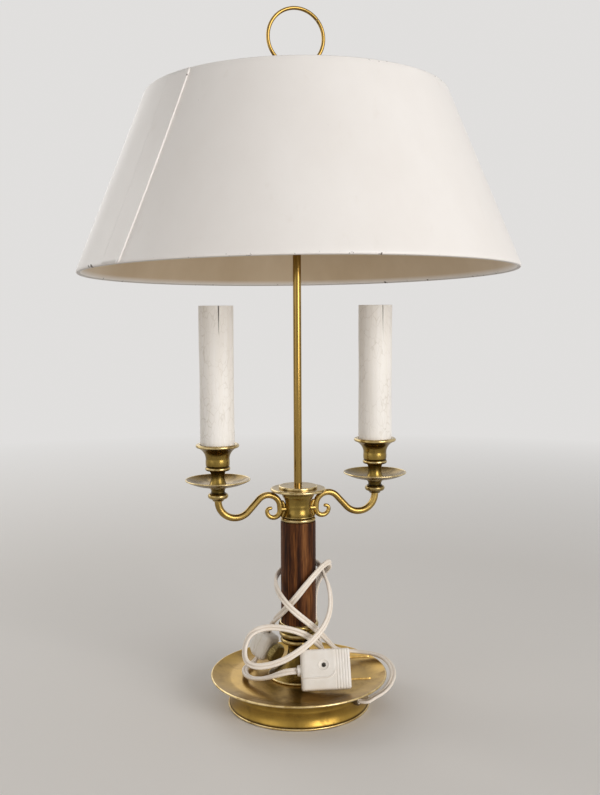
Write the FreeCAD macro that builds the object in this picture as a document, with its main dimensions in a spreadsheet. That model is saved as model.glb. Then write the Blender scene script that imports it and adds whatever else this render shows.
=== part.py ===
import FreeCAD, Part
import math
import os
import Sketcher
from FreeCAD import Placement, Rotation, Vector

# A two-light bouillotte lamp: a brass dish base, a wooden column, two scroll
# arms with candle sleeves, and a sheet-metal shade that slides on a rod.
# +Z is up, the origin is the middle of the base on the table, the two arms
# lie along X and the front is -Y. Millimetres.

doc = FreeCAD.newDocument("bouillotte_lamp")

# ---------------------------------------------------------------- sizes

SIZES = {
    # base dish
    "felt_thickness": 2.0,
    "felt_proud": 0.5,
    "foot_radius": 64.1,
    "foot_bead_height": 2.6,
    "foot_bead_depth": 0.6,
    "cove_step": 0.5,
    "waist_radius": 61.0,
    "cove_height": 12.0,
    "throat_radius": 63.0,
    "throat_rise": 7.9,
    "rim_radius": 79.5,
    "rim_rise": 3.5,
    "rim_thickness": 2.0,
    "floor_radius": 62.0,
    "floor_rise": 3.0,
    "base_wall": 2.2,
    # ballast and its fastening
    "ballast_inner_radius": 20.0,
    "ballast_clearance": 0.8,
    "washer_radius": 14.0,
    "washer_thickness": 1.5,
    "nut_circumradius": 8.1,
    "nut_thickness": 5.0,
    "thread_stickout": 1.3,
    "tube_stickout": 4.0,
    # through tube
    "tube_radius": 5.0,
    "tube_bore_radius": 4.0,
    "fit_clearance": 0.05,
    "bore_clearance": 0.2,
    # pedestal
    "pedestal_foot_radius": 27.0,
    "pedestal_foot_height": 2.2,
    "pedestal_waist_radius": 9.5,
    "pedestal_waist_rise": 25.5,
    "lower_ring_radius": 16.5,
    "lower_ring_rise": 6.0,
    "ring_height": 4.6,
    "ring_gap": 1.4,
    "ring_groove_radius": 13.5,
    "upper_ring_radius": 17.5,
    "pedestal_top_radius": 14.5,
    "pedestal_cap_height": 3.4,
    # wood column and the ferrule under it
    "wood_radius": 15.7,
    "wood_chamfer": 0.6,
    "ferrule_radius": 18.0,
    "ferrule_lip": 0.8,
    "ferrule_height": 4.8,
    "ferrule_floor": 3.0,
    "column_length": 94.0,
    # capital
    "capital_bead_radius": 15.7,
    "capital_bead_height": 3.5,
    "neck_end_radius": 14.2,
    "neck_waist_radius": 11.7,
    "neck_waist_rise": 13.4,
    "neck_flare_radius": 19.0,
    "neck_height": 27.0,
    "chamber_radius": 8.0,
    "chamber_floor_height": 4.5,
    "chamber_roof_thickness": 4.5,
    "plate_radius": 24.7,
    "plate_thickness": 2.6,
    "cap_radius": 17.3,
    "cap_thickness": 2.2,
    "cap_rounding": 0.8,
    # rod and its finial
    "rod_radius": 3.6,
    "rod_length": 367.5,
    "finial_socket_depth": 7.0,
    "finial_bead_radius": 5.8,
    "finial_neck_radius": 4.4,
    "finial_ball_radius": 4.6,
    "ring_radius": 24.4,
    "ring_wire_radius": 1.6,
    "finial_ball_rise": 4.6,
    "ring_joint_degrees": 0.7,
    # scroll arms
    "arm_reach_length": 72.0,
    "arm_radius": 3.25,
    "arm_scroll_radius": 2.7,
    "arm_tip_radius": 1.6,
    "arm_spigot_length": 5.0,
    "arm_drop_rise": 10.0,
    "arm_straight_length": 14.0,
    "crest_radius": 11.0,
    "scroll_offset": 4.8,
    "scroll_drop": 3.6,
    "scroll_radius": 6.0,
    "scroll_tip_radius": 2.7,
    "scroll_tip_degrees": 105.0,
    "tenon_rise": 11.0,
    "tenon_radius": 2.6,
    "wire_bore_radius": 1.3,
    "wire_radius": 1.0,
    "wire_bend_radius": 2.4,
    "wire_tail_length": 2.0,
    # knop, drip pan and candle cup
    "knop_foot_radius": 4.6,
    "knop_bottom_rise": 0.4,
    "knop_bead_radius": 9.0,
    "knop_bead_rise": 2.2,
    "knop_bead_height": 5.0,
    "knop_waist_radius": 5.9,
    "knop_waist_rise": 1.8,
    "knop_top_radius": 7.8,
    "knop_top_rise": 4.1,
    "pan_thickness": 1.3,
    "pan_flat_radius": 9.0,
    "pan_radius": 28.5,
    "pan_depth": 5.2,
    "cup_stem_radius": 6.4,
    "cup_foot_radius": 7.4,
    "cup_bead_radius": 11.0,
    "cup_stem_height": 12.8,
    "cup_bead_height": 3.4,
    "cup_body_radius": 10.4,
    "cup_body_rise": 7.0,
    "cup_rim_radius": 19.0,
    "cup_flare_height": 12.8,
    "cup_rim_thickness": 3.0,
    "cup_recess": 1.8,
    # candle sleeve and what stands in it
    "nipple_radius": 4.0,
    "nipple_bore_radius": 2.6,
    "sleeve_radius": 15.0,
    "sleeve_wall": 1.5,
    "sleeve_length": 121.5,
    "sleeve_clearance": 0.5,
    "holder_radius": 12.9,
    "holder_setback": 5.5,
    "holder_length": 52.0,
    "holder_neck_radius": 8.0,
    "holder_neck_length": 6.0,
    "holder_grip": 4.0,
    "shell_bore_radius": 7.0,
    "shell_wall": 0.45,
    "shell_length": 23.5,
    "shell_setback": 0.6,
    "contact_depth": 33.0,
    "contact_radius": 5.0,
    "contact_thickness": 1.2,
    "contact_tip_radius": 2.2,
    "contact_height": 5.0,
    # shade
    "shade_bottom_radius": 190.0,
    "shade_height": 149.0,
    "shade_top_radius": 130.0,
    "shade_top_drop": 22.0,
    "shade_sheet": 0.7,
    "shade_wire_radius": 1.4,
    "seam_width_degrees": 3.2,
    "seam_azimuth": 212.1,
    "shade_tilt_degrees": 2.2,
    # shade carrier
    "carrier_radius": 9.0,
    "carrier_height": 22.0,
    "carrier_neck_radius": 6.4,
    "spider_washer_radius": 12.0,
    "spider_washer_thickness": 2.0,
    "spider_arm_radius": 1.6,
    "spider_first_azimuth": 90.0,
    "ring_nut_radius": 8.6,
    "ring_nut_height": 3.5,
    "slide_clearance": 0.06,
    "thumbscrew_radius": 2.0,
    "thumbscrew_drop": 12.0,
    "thumbscrew_gap": 0.08,
    "thumbscrew_stem": 5.0,
    "collar_radius": 4.0,
    "collar_length": 2.5,
    "wing_width": 15.0,
    "wing_height": 12.0,
    "wing_thickness": 2.6,
    # cord
    "flex_radius": 2.85,
    "grommet_radius": 4.4,
    "grommet_wall": 1.35,
    "grommet_azimuth": -49.5,
    "grommet_rise": 1.8,
    "grommet_stickout": 2.0,
    # in-line switch
    "switch_centre_x": -26.2,
    "switch_centre_y": 31.3,
    "switch_centre_z": 46.2,
    "switch_length": 25.0,
    "switch_width": 18.0,
    "switch_depth": 22.0,
    "switch_shell_depth": 12.0,
    "switch_rounding": 5.0,
    "switch_wall": 1.6,
    "button_radius": 9.2,
    "button_height": 6.5,
    "button_travel": 2.0,
    "button_stem_radius": 3.0,
    "button_stem": 6.0,
    "button_clearance": 0.3,
    "button_rounding": 1.2,
    "switch_contact_thickness": 0.8,
    "switch_contact_width": 7.0,
    "switch_contact_length": 14.0,
    "switch_contact_rise": 5.0,
    # plug
    "plug_centre_x": 12.8,
    "plug_centre_y": -43.8,
    "plug_centre_z": 45.2,
    "plug_length": 43.0,
    "plug_width": 34.0,
    "plug_base_depth": 8.0,
    "plug_cover_depth": 8.0,
    "plug_rounding": 2.5,
    "plug_rib_width": 1.2,
    "plug_rib_pitch": 2.4,
    "plug_rib_depth": 0.7,
    "plug_rib_inset": 3.0,
    "plug_screw_radius": 2.0,
    "plug_screw_head_radius": 3.0,
    "plug_screw_head": 1.6,
    "plug_screw_sink": 1.2,
    "plug_screw_slot": 0.8,
    "plug_screw_setback": 1.5,
    "plug_screw_rise": 3.6,
    "plug_wall": 2.0,
    "plug_cavity_length": 20.0,
    "plug_cavity_width": 26.0,
    "plug_cavity_depth": 9.0,
    "plug_nozzle_radius": 5.0,
    "plug_nozzle_length": 3.0,
    "blade_spacing": 18.4,
    "blade_thickness": 1.6,
    "blade_width": 6.3,
    "blade_length": 17.5,
    "blade_root": 12.0,
}

sheet = doc.addObject("Spreadsheet::Sheet", "Sizes")
for row, (name, number) in enumerate(SIZES.items(), 1):
    sheet.set(f"A{row}", name)
    sheet.set(f"B{row}", str(number))
    sheet.setAlias(f"B{row}", name)

class Cell:
    """A number from the sheet, with the expression that it comes from."""

    def __init__(self, value, text):
        self.value = value
        self.text = text

    def __float__(self):
        return self.value

    def __add__(self, other):
        other = as_cell(other)
        return Cell(self.value + other.value, f"({self.text} + {other.text})")

    def __sub__(self, other):
        other = as_cell(other)
        return Cell(self.value - other.value, f"({self.text} - {other.text})")

    def __mul__(self, other):
        other = as_cell(other)
        return Cell(self.value * other.value, f"({self.text} * {other.text})")

    def __truediv__(self, other):
        other = as_cell(other)
        return Cell(self.value / other.value, f"({self.text} / {other.text})")

    def __neg__(self):
        return as_cell(0) - self

    def __radd__(self, other):
        return as_cell(other) + self

    def __rsub__(self, other):
        return as_cell(other) - self

    def __rmul__(self, other):
        return as_cell(other) * self

    def root(self):
        return Cell(math.sqrt(self.value), f"sqrt({self.text})")


def as_cell(number):
    return number if isinstance(number, Cell) else Cell(float(number), str(number))


class Sheet:
    """Reads size.NAME as the Cell of the sheet's alias NAME."""

    def __getattr__(self, name):
        return Cell(float(sheet.get(name)), "Sizes." + name)


doc.recompute()
size = Sheet()

# ---------------------------------------------------------------- tools

nodes = []
half_round = 0.5
quarter_round = (math.sqrt(2) - 1) / 2
shallow = 0.1


def node(label, made):
    """Names a finished sub-part and puts it on the list that is written out."""
    made.Label = label
    nodes.append(made)
    return made


def bind(made, **cells):
    """Binds properties, such as Radius or Placement_Base_x, to sheet expressions."""
    for prop, cell in cells.items():
        made.setExpression(prop.replace("_", "."), as_cell(cell).text)
    return made


def origin_plane(body, role):
    return next(item for item in body.Origin.OriginFeatures if item.Role == role)


def arc_centre(start, end, bulge):
    """Where the middle of the circle is, for an arc that rises bulge times its chord."""
    across = end[0] - start[0]
    climb = end[1] - start[1]
    setback = (1 - 4 * bulge * bulge) / (8 * bulge)
    return (
        (start[0] + end[0]) / 2 - climb * setback,
        (start[1] + end[1]) / 2 + across * setback,
    )


def outline_edge(start, end, bulge):
    """A line, or an arc that stands out to the right of the way it is drawn."""
    first = Vector(float(start[0]), float(start[1]), 0)
    last = Vector(float(end[0]), float(end[1]), 0)
    if bulge == 0:
        return Part.LineSegment(first, last)
    way = last - first
    middle = (first + last) / 2 + Vector(way.y, -way.x, 0) * bulge
    return Part.Arc(first, middle, last)


def outline_sketch(body, name, points):
    """A closed outline on the XZ plane, each corner and arc bound to the sheet.

    A point is (radius, height) or (radius, height, bulge), where bulge is the
    rise, over the chord, of the arc to the next point: above 0 for a bead and
    below 0 for a cove, when the outline runs counter-clockwise."""
    sketch = body.newObject("Sketcher::SketchObject", name)
    sketch.AttachmentSupport = (origin_plane(body, "XZ_Plane"), [""])
    sketch.MapMode = "FlatFace"
    corners = [(as_cell(p[0]), as_cell(p[1]), p[2] if len(p) > 2 else 0) for p in points]
    ends = []
    for here, after in zip(corners, corners[1:] + corners[:1]):
        edge = sketch.addGeometry(outline_edge(here, after, here[2]), False)
        begin = Vector(float(here[0]), float(here[1]), 0)
        turned_over = sketch.getPoint(edge, 1).distanceToPoint(begin) > 1e-6
        ends.append((edge, 2 if turned_over else 1))
    for (edge, start), here, after in zip(ends, corners, corners[1:] + corners[:1]):
        follower, follower_start = ends[(edge + 1) % len(ends)]
        sketch.addConstraint(
            Sketcher.Constraint("Coincident", edge, 3 - start, follower, follower_start)
        )
        for kind, cell in (("DistanceX", here[0]), ("DistanceY", here[1])):
            made = sketch.addConstraint(
                Sketcher.Constraint(kind, -1, 1, edge, start, float(cell))
            )
            sketch.setExpression(f"Constraints[{made}]", cell.text)
        if here[2]:
            steep = abs(float(after[1] - here[1])) >= abs(float(after[0] - here[0]))
            cell = arc_centre(here, after, here[2])[0 if steep else 1]
            kind = "DistanceX" if steep else "DistanceY"
            made = sketch.addConstraint(Sketcher.Constraint(kind, -1, 1, edge, 3, float(cell)))
            sketch.setExpression(f"Constraints[{made}]", cell.text)
    return sketch


def turned(name, points, degrees=360):
    """A body turned on a lathe about its own Z axis."""
    body = doc.addObject("PartDesign::Body", name)
    sketch = outline_sketch(body, name + "_outline", points)
    spin = body.newObject("PartDesign::Revolution", name + "_turn")
    spin.Profile = sketch
    spin.ReferenceAxis = (sketch, ["V_Axis"])
    bind(spin, Angle=degrees)
    sketch.Visibility = False
    return body


def cylinder(name, radius, length, place=None):
    made = doc.addObject("Part::Cylinder", name)
    if place:
        made.Placement = place
    return bind(made, Radius=radius, Height=length)


def box(name, length, width, tall, place=None):
    made = doc.addObject("Part::Box", name)
    if place:
        made.Placement = place
    return bind(made, Length=length, Width=width, Height=tall)


def fused(name, pieces):
    made = doc.addObject("Part::MultiFuse", name)
    made.Shapes = pieces
    made.Refine = True
    return made


def cut(name, base, tool):
    made = doc.addObject("Part::Cut", name)
    made.Base = base
    made.Tool = tool
    return made


def shaped(name, shape, place=None):
    """A sub-part whose shape comes from Part's own functions."""
    made = doc.addObject("Part::Feature", name)
    made.Shape = shape
    if place:
        made.Placement = place
    return made


def toward(azimuth, degrees_down=90):
    """Turns +Z to point level along an azimuth, in degrees from +X."""
    return Rotation(Vector(0, 0, 1), azimuth) * Rotation(Vector(0, 1, 0), degrees_down)


# ---------------------------------------------------------------- levels

# Each height is built up from the one below it.
waist_height = size.foot_bead_height + size.cove_height
throat_height = waist_height + size.throat_rise
floor_height = throat_height + size.floor_rise
rim_height = floor_height + size.rim_rise
grommet_level = waist_height + size.grommet_rise
pedestal_foot_top = floor_height + size.pedestal_foot_height
pedestal_waist_height = floor_height + size.pedestal_waist_rise
lower_ring_level = pedestal_waist_height + size.lower_ring_rise
lower_ring_top = lower_ring_level + size.ring_height
upper_ring_level = lower_ring_top + size.ring_gap
upper_ring_top = upper_ring_level + size.ring_height
pedestal_top = upper_ring_top + size.pedestal_cap_height
wood_bottom = pedestal_top + size.ferrule_floor
column_top = wood_bottom + size.column_length
neck_top = column_top + size.neck_height
neck_waist_level = column_top + size.neck_waist_rise
chamber_floor = column_top + size.chamber_floor_height
chamber_roof = neck_top - size.chamber_roof_thickness
tenon_level = column_top + size.tenon_rise
arm_drop_level = tenon_level + size.arm_drop_rise
arm_top_level = arm_drop_level + size.arm_spigot_length
knop_bottom = arm_drop_level + size.knop_bottom_rise
knop_bead_level = knop_bottom + size.knop_bead_rise
knop_waist_level = knop_bead_level + size.knop_bead_height + size.knop_waist_rise
pan_level = knop_waist_level + size.knop_top_rise
pan_top = pan_level + size.pan_thickness
cup_bead_level = pan_top + size.cup_stem_height
cup_bead_top = cup_bead_level + size.cup_bead_height
cup_body_level = cup_bead_top + size.cup_body_rise
cup_rim_level = cup_body_level + size.cup_flare_height
sleeve_bottom = cup_rim_level - size.cup_recess
sleeve_top = sleeve_bottom + size.sleeve_length
rod_top = chamber_roof + size.rod_length
finial_base = rod_top - size.finial_socket_depth
ball_level = rod_top + size.finial_ball_rise
ring_centre_height = ball_level + size.ring_radius
shade_top_level = rod_top - size.shade_top_drop
shade_bottom_level = shade_top_level - size.shade_height

# ---------------------------------------------------------------- base

column_bore = size.tube_radius + size.bore_clearance
tube_hole = size.tube_radius + size.fit_clearance
floor_under = floor_height - size.base_wall
cove_foot = size.foot_radius - size.foot_bead_depth - size.cove_step
throat_inner = size.throat_radius - size.base_wall
waist_inner = size.waist_radius - size.base_wall
foot_inner = cove_foot - size.base_wall
rim_edge = size.rim_radius - size.rim_thickness / 2
rim_under = rim_height - size.rim_thickness
foot_shoulder = size.foot_radius - size.foot_bead_depth

dish_blank = turned("dish_blank", [
    (foot_inner, size.felt_proud),
    (foot_shoulder, size.felt_proud, 0.29),
    (foot_shoulder, size.foot_bead_height),
    (cove_foot, size.foot_bead_height, -shallow),
    (size.waist_radius, waist_height, -shallow),
    (size.throat_radius, throat_height, -shallow),
    (rim_edge, rim_under, half_round),
    (rim_edge, rim_height, -0.03),
    (size.floor_radius, floor_height),
    (tube_hole, floor_height),
    (tube_hole, floor_under),
    (throat_inner, floor_under),
    (waist_inner, waist_height),
    (foot_inner, size.foot_bead_height),
])

grommet_way = toward(float(size.grommet_azimuth))
grommet_place = Placement(Vector(0, 0, float(grommet_level)), grommet_way)


def along_grommet(start, radius, length, name):
    """A cylinder on the grommet's axis, from a distance out of the lamp's axis."""
    step = grommet_way.multVec(Vector(0, 0, float(start)))
    place = Placement(grommet_place.Base + step, grommet_way)
    return cylinder(name, radius, length, place)


grommet_start = waist_inner - 2
grommet_end = size.throat_radius + size.grommet_stickout
grommet_length = grommet_end - grommet_start
grommet_hole = along_grommet(
    waist_inner - 4, size.grommet_radius + size.fit_clearance, grommet_length + 3, "grommet_hole"
)
node("base_dish", cut("base_dish", dish_blank, grommet_hole))

node("base_felt", turned("base_felt", [
    (0, 0),
    (foot_inner - size.bore_clearance, 0),
    (foot_inner - size.bore_clearance, size.felt_thickness),
    (0, size.felt_thickness),
]))

ballast_radius = waist_inner - size.ballast_clearance
ballast_blank = turned("ballast_blank", [
    (size.ballast_inner_radius, size.felt_thickness),
    (ballast_radius, size.felt_thickness),
    (ballast_radius, floor_under),
    (size.ballast_inner_radius, floor_under),
])
slot_way = Rotation(Vector(0, 0, 1), float(size.grommet_azimuth))
slot_width = 2 * (size.grommet_radius + size.bore_clearance)
slot_height = grommet_level - size.felt_thickness + slot_width / 2
slot_corner = Vector(0, -float(slot_width) / 2, float(size.felt_thickness))
flex_slot = box("flex_slot", size.rim_radius, slot_width, slot_height)
flex_slot.Placement = Placement(slot_way.multVec(slot_corner), slot_way)
node("base_weight", cut("base_weight", ballast_blank, flex_slot))

grommet_blank = along_grommet(grommet_start, size.grommet_radius, grommet_length, "grommet_blank")
grommet_bore = along_grommet(
    waist_inner - 4, size.grommet_radius - size.grommet_wall, grommet_length + 6, "grommet_bore"
)
node("cord_grommet", cut("cord_grommet", grommet_blank, grommet_bore))

# ---------------------------------------------------------------- through tube

nut_top = floor_under - size.washer_thickness
nut_bottom = nut_top - size.nut_thickness
tube_bottom = nut_bottom - size.thread_stickout
tube_top = chamber_floor + size.tube_stickout

node("base_washer", turned("base_washer", [
    (tube_hole, nut_top),
    (size.washer_radius, nut_top),
    (size.washer_radius, floor_under),
    (tube_hole, floor_under),
]))

nut_blank = bind(
    doc.addObject("Part::Prism", "nut_blank"),
    Circumradius=size.nut_circumradius,
    Height=size.nut_thickness,
    Placement_Base_z=nut_bottom,
)
nut_blank.Polygon = 6
nut_thread = cylinder("nut_thread", tube_hole, rim_height)
node("base_nut", cut("base_nut", nut_blank, nut_thread))

node("column_tube", turned("column_tube", [
    (size.tube_bore_radius, tube_bottom),
    (size.tube_radius, tube_bottom),
    (size.tube_radius, tube_top),
    (size.tube_bore_radius, tube_top),
]))

# ---------------------------------------------------------------- column

lower_ring_root = size.lower_ring_radius - size.ring_height * 0.4
upper_ring_root = size.upper_ring_radius - size.ring_height * 0.4

node("pedestal", turned("pedestal", [
    (column_bore, floor_height),
    (size.pedestal_foot_radius, floor_height, 0.3),
    (size.pedestal_foot_radius, pedestal_foot_top, -0.16),
    (size.pedestal_waist_radius, pedestal_waist_height, -0.18),
    (size.ring_groove_radius, lower_ring_level - 1),
    (lower_ring_root, lower_ring_level, 0.4),
    (lower_ring_root, lower_ring_top),
    (size.ring_groove_radius, lower_ring_top + size.ring_gap / 2),
    (upper_ring_root, upper_ring_level, 0.4),
    (upper_ring_root, upper_ring_top, -shallow),
    (size.pedestal_top_radius, pedestal_top),
    (column_bore, pedestal_top),
]))

ferrule_top = pedestal_top + size.ferrule_height
ferrule_root = size.wood_radius + size.ferrule_lip
ferrule_bulge = float(size.ferrule_radius - ferrule_root) / float(size.ferrule_height)

node("column_ferrule", turned("column_ferrule", [
    (column_bore, pedestal_top),
    (ferrule_root, pedestal_top, ferrule_bulge),
    (ferrule_root, ferrule_top),
    (size.wood_radius + size.fit_clearance, ferrule_top),
    (size.wood_radius + size.fit_clearance, wood_bottom),
    (column_bore, wood_bottom),
]))

node("wood_column", turned("wood_column", [
    (column_bore, wood_bottom),
    (size.wood_radius - size.wood_chamfer, wood_bottom),
    (size.wood_radius, wood_bottom + size.wood_chamfer),
    (size.wood_radius, column_top - size.wood_chamfer),
    (size.wood_radius - size.wood_chamfer, column_top),
    (column_bore, column_top),
]))

# ---------------------------------------------------------------- capital

bead_root = size.capital_bead_radius - size.capital_bead_height / 2
bead_top = column_top + size.capital_bead_height

neck_blank = turned("neck_blank", [
    (tube_hole, column_top),
    (bead_root, column_top, half_round),
    (bead_root, bead_top),
    (size.neck_end_radius, bead_top + 1, -shallow),
    (size.neck_waist_radius, neck_waist_level, -shallow),
    (size.neck_end_radius, chamber_roof, -quarter_round),
    (size.neck_flare_radius, neck_top),
    (size.rod_radius + size.fit_clearance, neck_top),
    (size.rod_radius + size.fit_clearance, chamber_roof),
    (size.chamber_radius, chamber_roof),
    (size.chamber_radius, chamber_floor),
    (tube_hole, chamber_floor),
])
tenon_hole = cylinder(
    "tenon_hole",
    size.tenon_radius + size.fit_clearance,
    2 * size.plate_radius,
    Placement(Vector(), toward(0)),
)
bind(tenon_hole, Placement_Base_x=-size.plate_radius, Placement_Base_z=tenon_level)
node("capital_neck", cut("capital_neck", neck_blank, tenon_hole))

rod_hole = size.rod_radius + size.fit_clearance
plate_top = neck_top + size.plate_thickness
cap_top = plate_top + size.cap_thickness
plate_root = size.plate_radius - size.plate_thickness / 2

node("capital_plate", turned("capital_plate", [
    (rod_hole, neck_top),
    (plate_root, neck_top, half_round),
    (plate_root, plate_top),
    (rod_hole, plate_top),
]))

node("capital_cap", turned("capital_cap", [
    (rod_hole, plate_top),
    (size.cap_radius, plate_top),
    (size.cap_radius, cap_top - size.cap_rounding, quarter_round),
    (size.cap_radius - size.cap_rounding, cap_top),
    (rod_hole, cap_top),
]))

# ---------------------------------------------------------------- rod and ring

node("centre_rod", turned("centre_rod", [
    (0, chamber_roof),
    (size.rod_radius, chamber_roof),
    (size.rod_radius, rod_top),
    (0, rod_top),
]))

ball_bottom = ball_level - size.finial_ball_radius * 0.8
ball_neck = size.finial_ball_radius * 0.6
finial_bead_root = size.finial_bead_radius - 1

finial_blank = turned("finial_blank", [
    (rod_hole, finial_base),
    (finial_bead_root, finial_base, half_round),
    (finial_bead_root, finial_base + 2, -shallow),
    (size.finial_neck_radius, rod_top - 0.5),
    (ball_neck, ball_bottom, 0.3),
    (size.finial_ball_radius, ball_level, quarter_round),
    (0, ball_level + size.finial_ball_radius),
    (0, rod_top),
    (rod_hole, rod_top),
])


def ring(name, wire_radius):
    """The upright handle ring, open by a hair at the upper right where its ends meet."""
    upright = Rotation(Vector(1, 0, 0), 90)
    made = doc.addObject("Part::Torus", name)
    made.Placement = Placement(Vector(), upright * Rotation(Vector(0, 0, 1), 40))
    return bind(
        made,
        Radius1=size.ring_radius,
        Radius2=wire_radius,
        Angle3=360 - size.ring_joint_degrees,
        Placement_Base_z=ring_centre_height,
    )


ring_passage = ring("ring_passage", size.ring_wire_radius + size.fit_clearance)
node("rod_finial", cut("rod_finial", finial_blank, ring_passage))
node("ring_handle", ring("ring_handle", size.ring_wire_radius))

# ---------------------------------------------------------------- scroll arms


def on_circle(centre, radius, degrees):
    angle = math.radians(degrees)
    return centre + Vector(math.cos(angle), 0, math.sin(angle)) * radius


def arc(centre, radius, first, last):
    """An arc in the XZ plane between two angles, in degrees."""
    stations = (first, (first + last) / 2, last)
    return Part.Arc(*(on_circle(centre, radius, at) for at in stations)).toShape()


def line(start, end):
    return Part.LineSegment(start, end).toShape()


def circle(centre, direction, radius):
    return Part.Wire(Part.Circle(centre, direction, radius).toShape())


def pipe(edges, sections):
    """A solid swept along the edges, through round sections."""
    sweep = Part.BRepOffsetAPI.MakePipeShell(Part.Wire(edges))
    for section in sections:
        sweep.add(section)
    sweep.build()
    sweep.makeSolid()
    return sweep.shape()


def even_pipe(edges, radius):
    first = edges[0]
    start = first.Vertexes[0].Point
    return pipe(edges, [circle(start, first.tangentAt(first.FirstParameter), radius)])


reach = float(size.arm_reach_length)
drop_level = float(arm_drop_level)
crest_radius = float(size.crest_radius)
straight = float(size.arm_straight_length)
tenon_height = float(tenon_level)
wire_bend = float(size.wire_bend_radius)
scroll_side = float(size.neck_waist_radius + size.scroll_offset)
crest_centre = Vector(scroll_side + crest_radius, 0, tenon_height + wire_bend)

# The bowl's radius makes the straight between bowl and crest touch both arcs:
# |crest - bowl|^2 = (bowl radius + crest radius)^2 + straight^2.
span = reach - crest_centre.x
climb = drop_level - crest_centre.z
bowl_radius = (span**2 + climb**2 - crest_radius**2 - straight**2) / (2 * (span + crest_radius))
bowl_centre = Vector(reach - bowl_radius, 0, drop_level)
between = crest_centre - bowl_centre
heading = math.degrees(
    math.atan2(between.z, between.x) - math.atan2(bowl_radius + crest_radius, straight)
)
heading = heading % 360

scroll_radius = float(size.scroll_radius)
tip_bend = float(size.scroll_tip_radius)
tip_degrees = float(size.scroll_tip_degrees)
scroll_level = crest_centre.z - float(size.scroll_drop)
scroll_centre = Vector(scroll_side + scroll_radius, 0, scroll_level)
tip_centre = Vector(scroll_side + 2 * scroll_radius - tip_bend, 0, scroll_centre.z)
tip_end = on_circle(tip_centre, tip_bend, tip_degrees)
arm_top = Vector(reach, 0, float(arm_top_level))
arm_foot = Vector(reach, 0, drop_level)
side_point = Vector(scroll_side, 0, crest_centre.z)

run_to_crest = [
    line(arm_top, arm_foot),
    arc(bowl_centre, bowl_radius, 0, heading + 90 - 360),
    line(
        on_circle(bowl_centre, bowl_radius, heading + 90),
        on_circle(crest_centre, crest_radius, heading - 90),
    ),
    arc(crest_centre, crest_radius, heading - 90, 180),
]
scroll = [
    line(side_point, Vector(scroll_side, 0, scroll_centre.z)),
    arc(scroll_centre, scroll_radius, 180, 360),
    arc(tip_centre, tip_bend, 0, tip_degrees),
]
tip_way = on_circle(Vector(), 1, tip_degrees + 90)
arm_bar = pipe(
    run_to_crest[1:] + scroll,
    [
        circle(arm_foot, Vector(0, 0, -1), float(size.arm_radius)),
        circle(side_point, Vector(0, 0, -1), float(size.arm_scroll_radius)),
        circle(tip_end, tip_way, float(size.arm_tip_radius)),
    ],
)
arm_spigot = Part.makeCylinder(float(size.arm_radius), arm_top.z - drop_level, arm_foot)
arm_end = Part.makeSphere(float(size.arm_tip_radius), tip_end)

# The wires run down the candle tube, round the bowl and the crest, and turn in
# through the tenon to the chamber in the capital.
chamber_radius = float(size.chamber_radius)
tenon_length = scroll_side - chamber_radius
turn_centre = side_point - Vector(wire_bend, 0, 0)
turn_in = arc(turn_centre, wire_bend, 0, -90)
turn_end = on_circle(turn_centre, wire_bend, -90)
inward = Vector(-1, 0, 0)


def wire_run(top, inner_end):
    """Edges of the wires' route, from a height in the candle tube to the chamber."""
    start = Vector(reach, 0, top)
    return (
        [line(start, arm_foot)]
        + run_to_crest[1:]
        + [turn_in, line(turn_end, Vector(inner_end, 0, tenon_height))]
    )


tenon = Part.makeCylinder(
    float(size.tenon_radius), tenon_length, Vector(scroll_side, 0, tenon_height), inward
)
bore = even_pipe(
    wire_run(float(arm_top_level) + 1, chamber_radius - 1), float(size.wire_bore_radius)
)
arm_shape = arm_bar.multiFuse([arm_spigot, arm_end, tenon]).cut(bore).removeSplitter()
wire_top = float(sleeve_top - size.holder_setback - size.contact_depth)
wire_shape = even_pipe(
    wire_run(wire_top, chamber_radius - float(size.wire_tail_length)), float(size.wire_radius)
)

# ---------------------------------------------------------------- candle branches

arm_hole = size.arm_radius + size.fit_clearance
nipple_hole = size.nipple_radius + size.fit_clearance
knop_bead_root = size.knop_bead_radius - size.knop_bead_height / 2
cup_bead_root = size.cup_bead_radius - size.cup_bead_height * 0.35
cup_rim_edge = size.cup_rim_radius - size.cup_rim_thickness / 2
cup_rim_under = cup_rim_level - size.cup_rim_thickness
cup_recess_radius = size.sleeve_radius + size.sleeve_clearance
holder_top = sleeve_top - size.holder_setback
holder_bottom = holder_top - size.holder_length
nipple_top = holder_bottom + size.holder_grip
shell_outer = size.shell_bore_radius + size.shell_wall
shell_top = holder_top - size.shell_setback
contact_level = holder_top - size.contact_depth
pan_edge = size.pan_radius - size.pan_thickness / 2
pan_rim_level = pan_level + size.pan_depth

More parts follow.
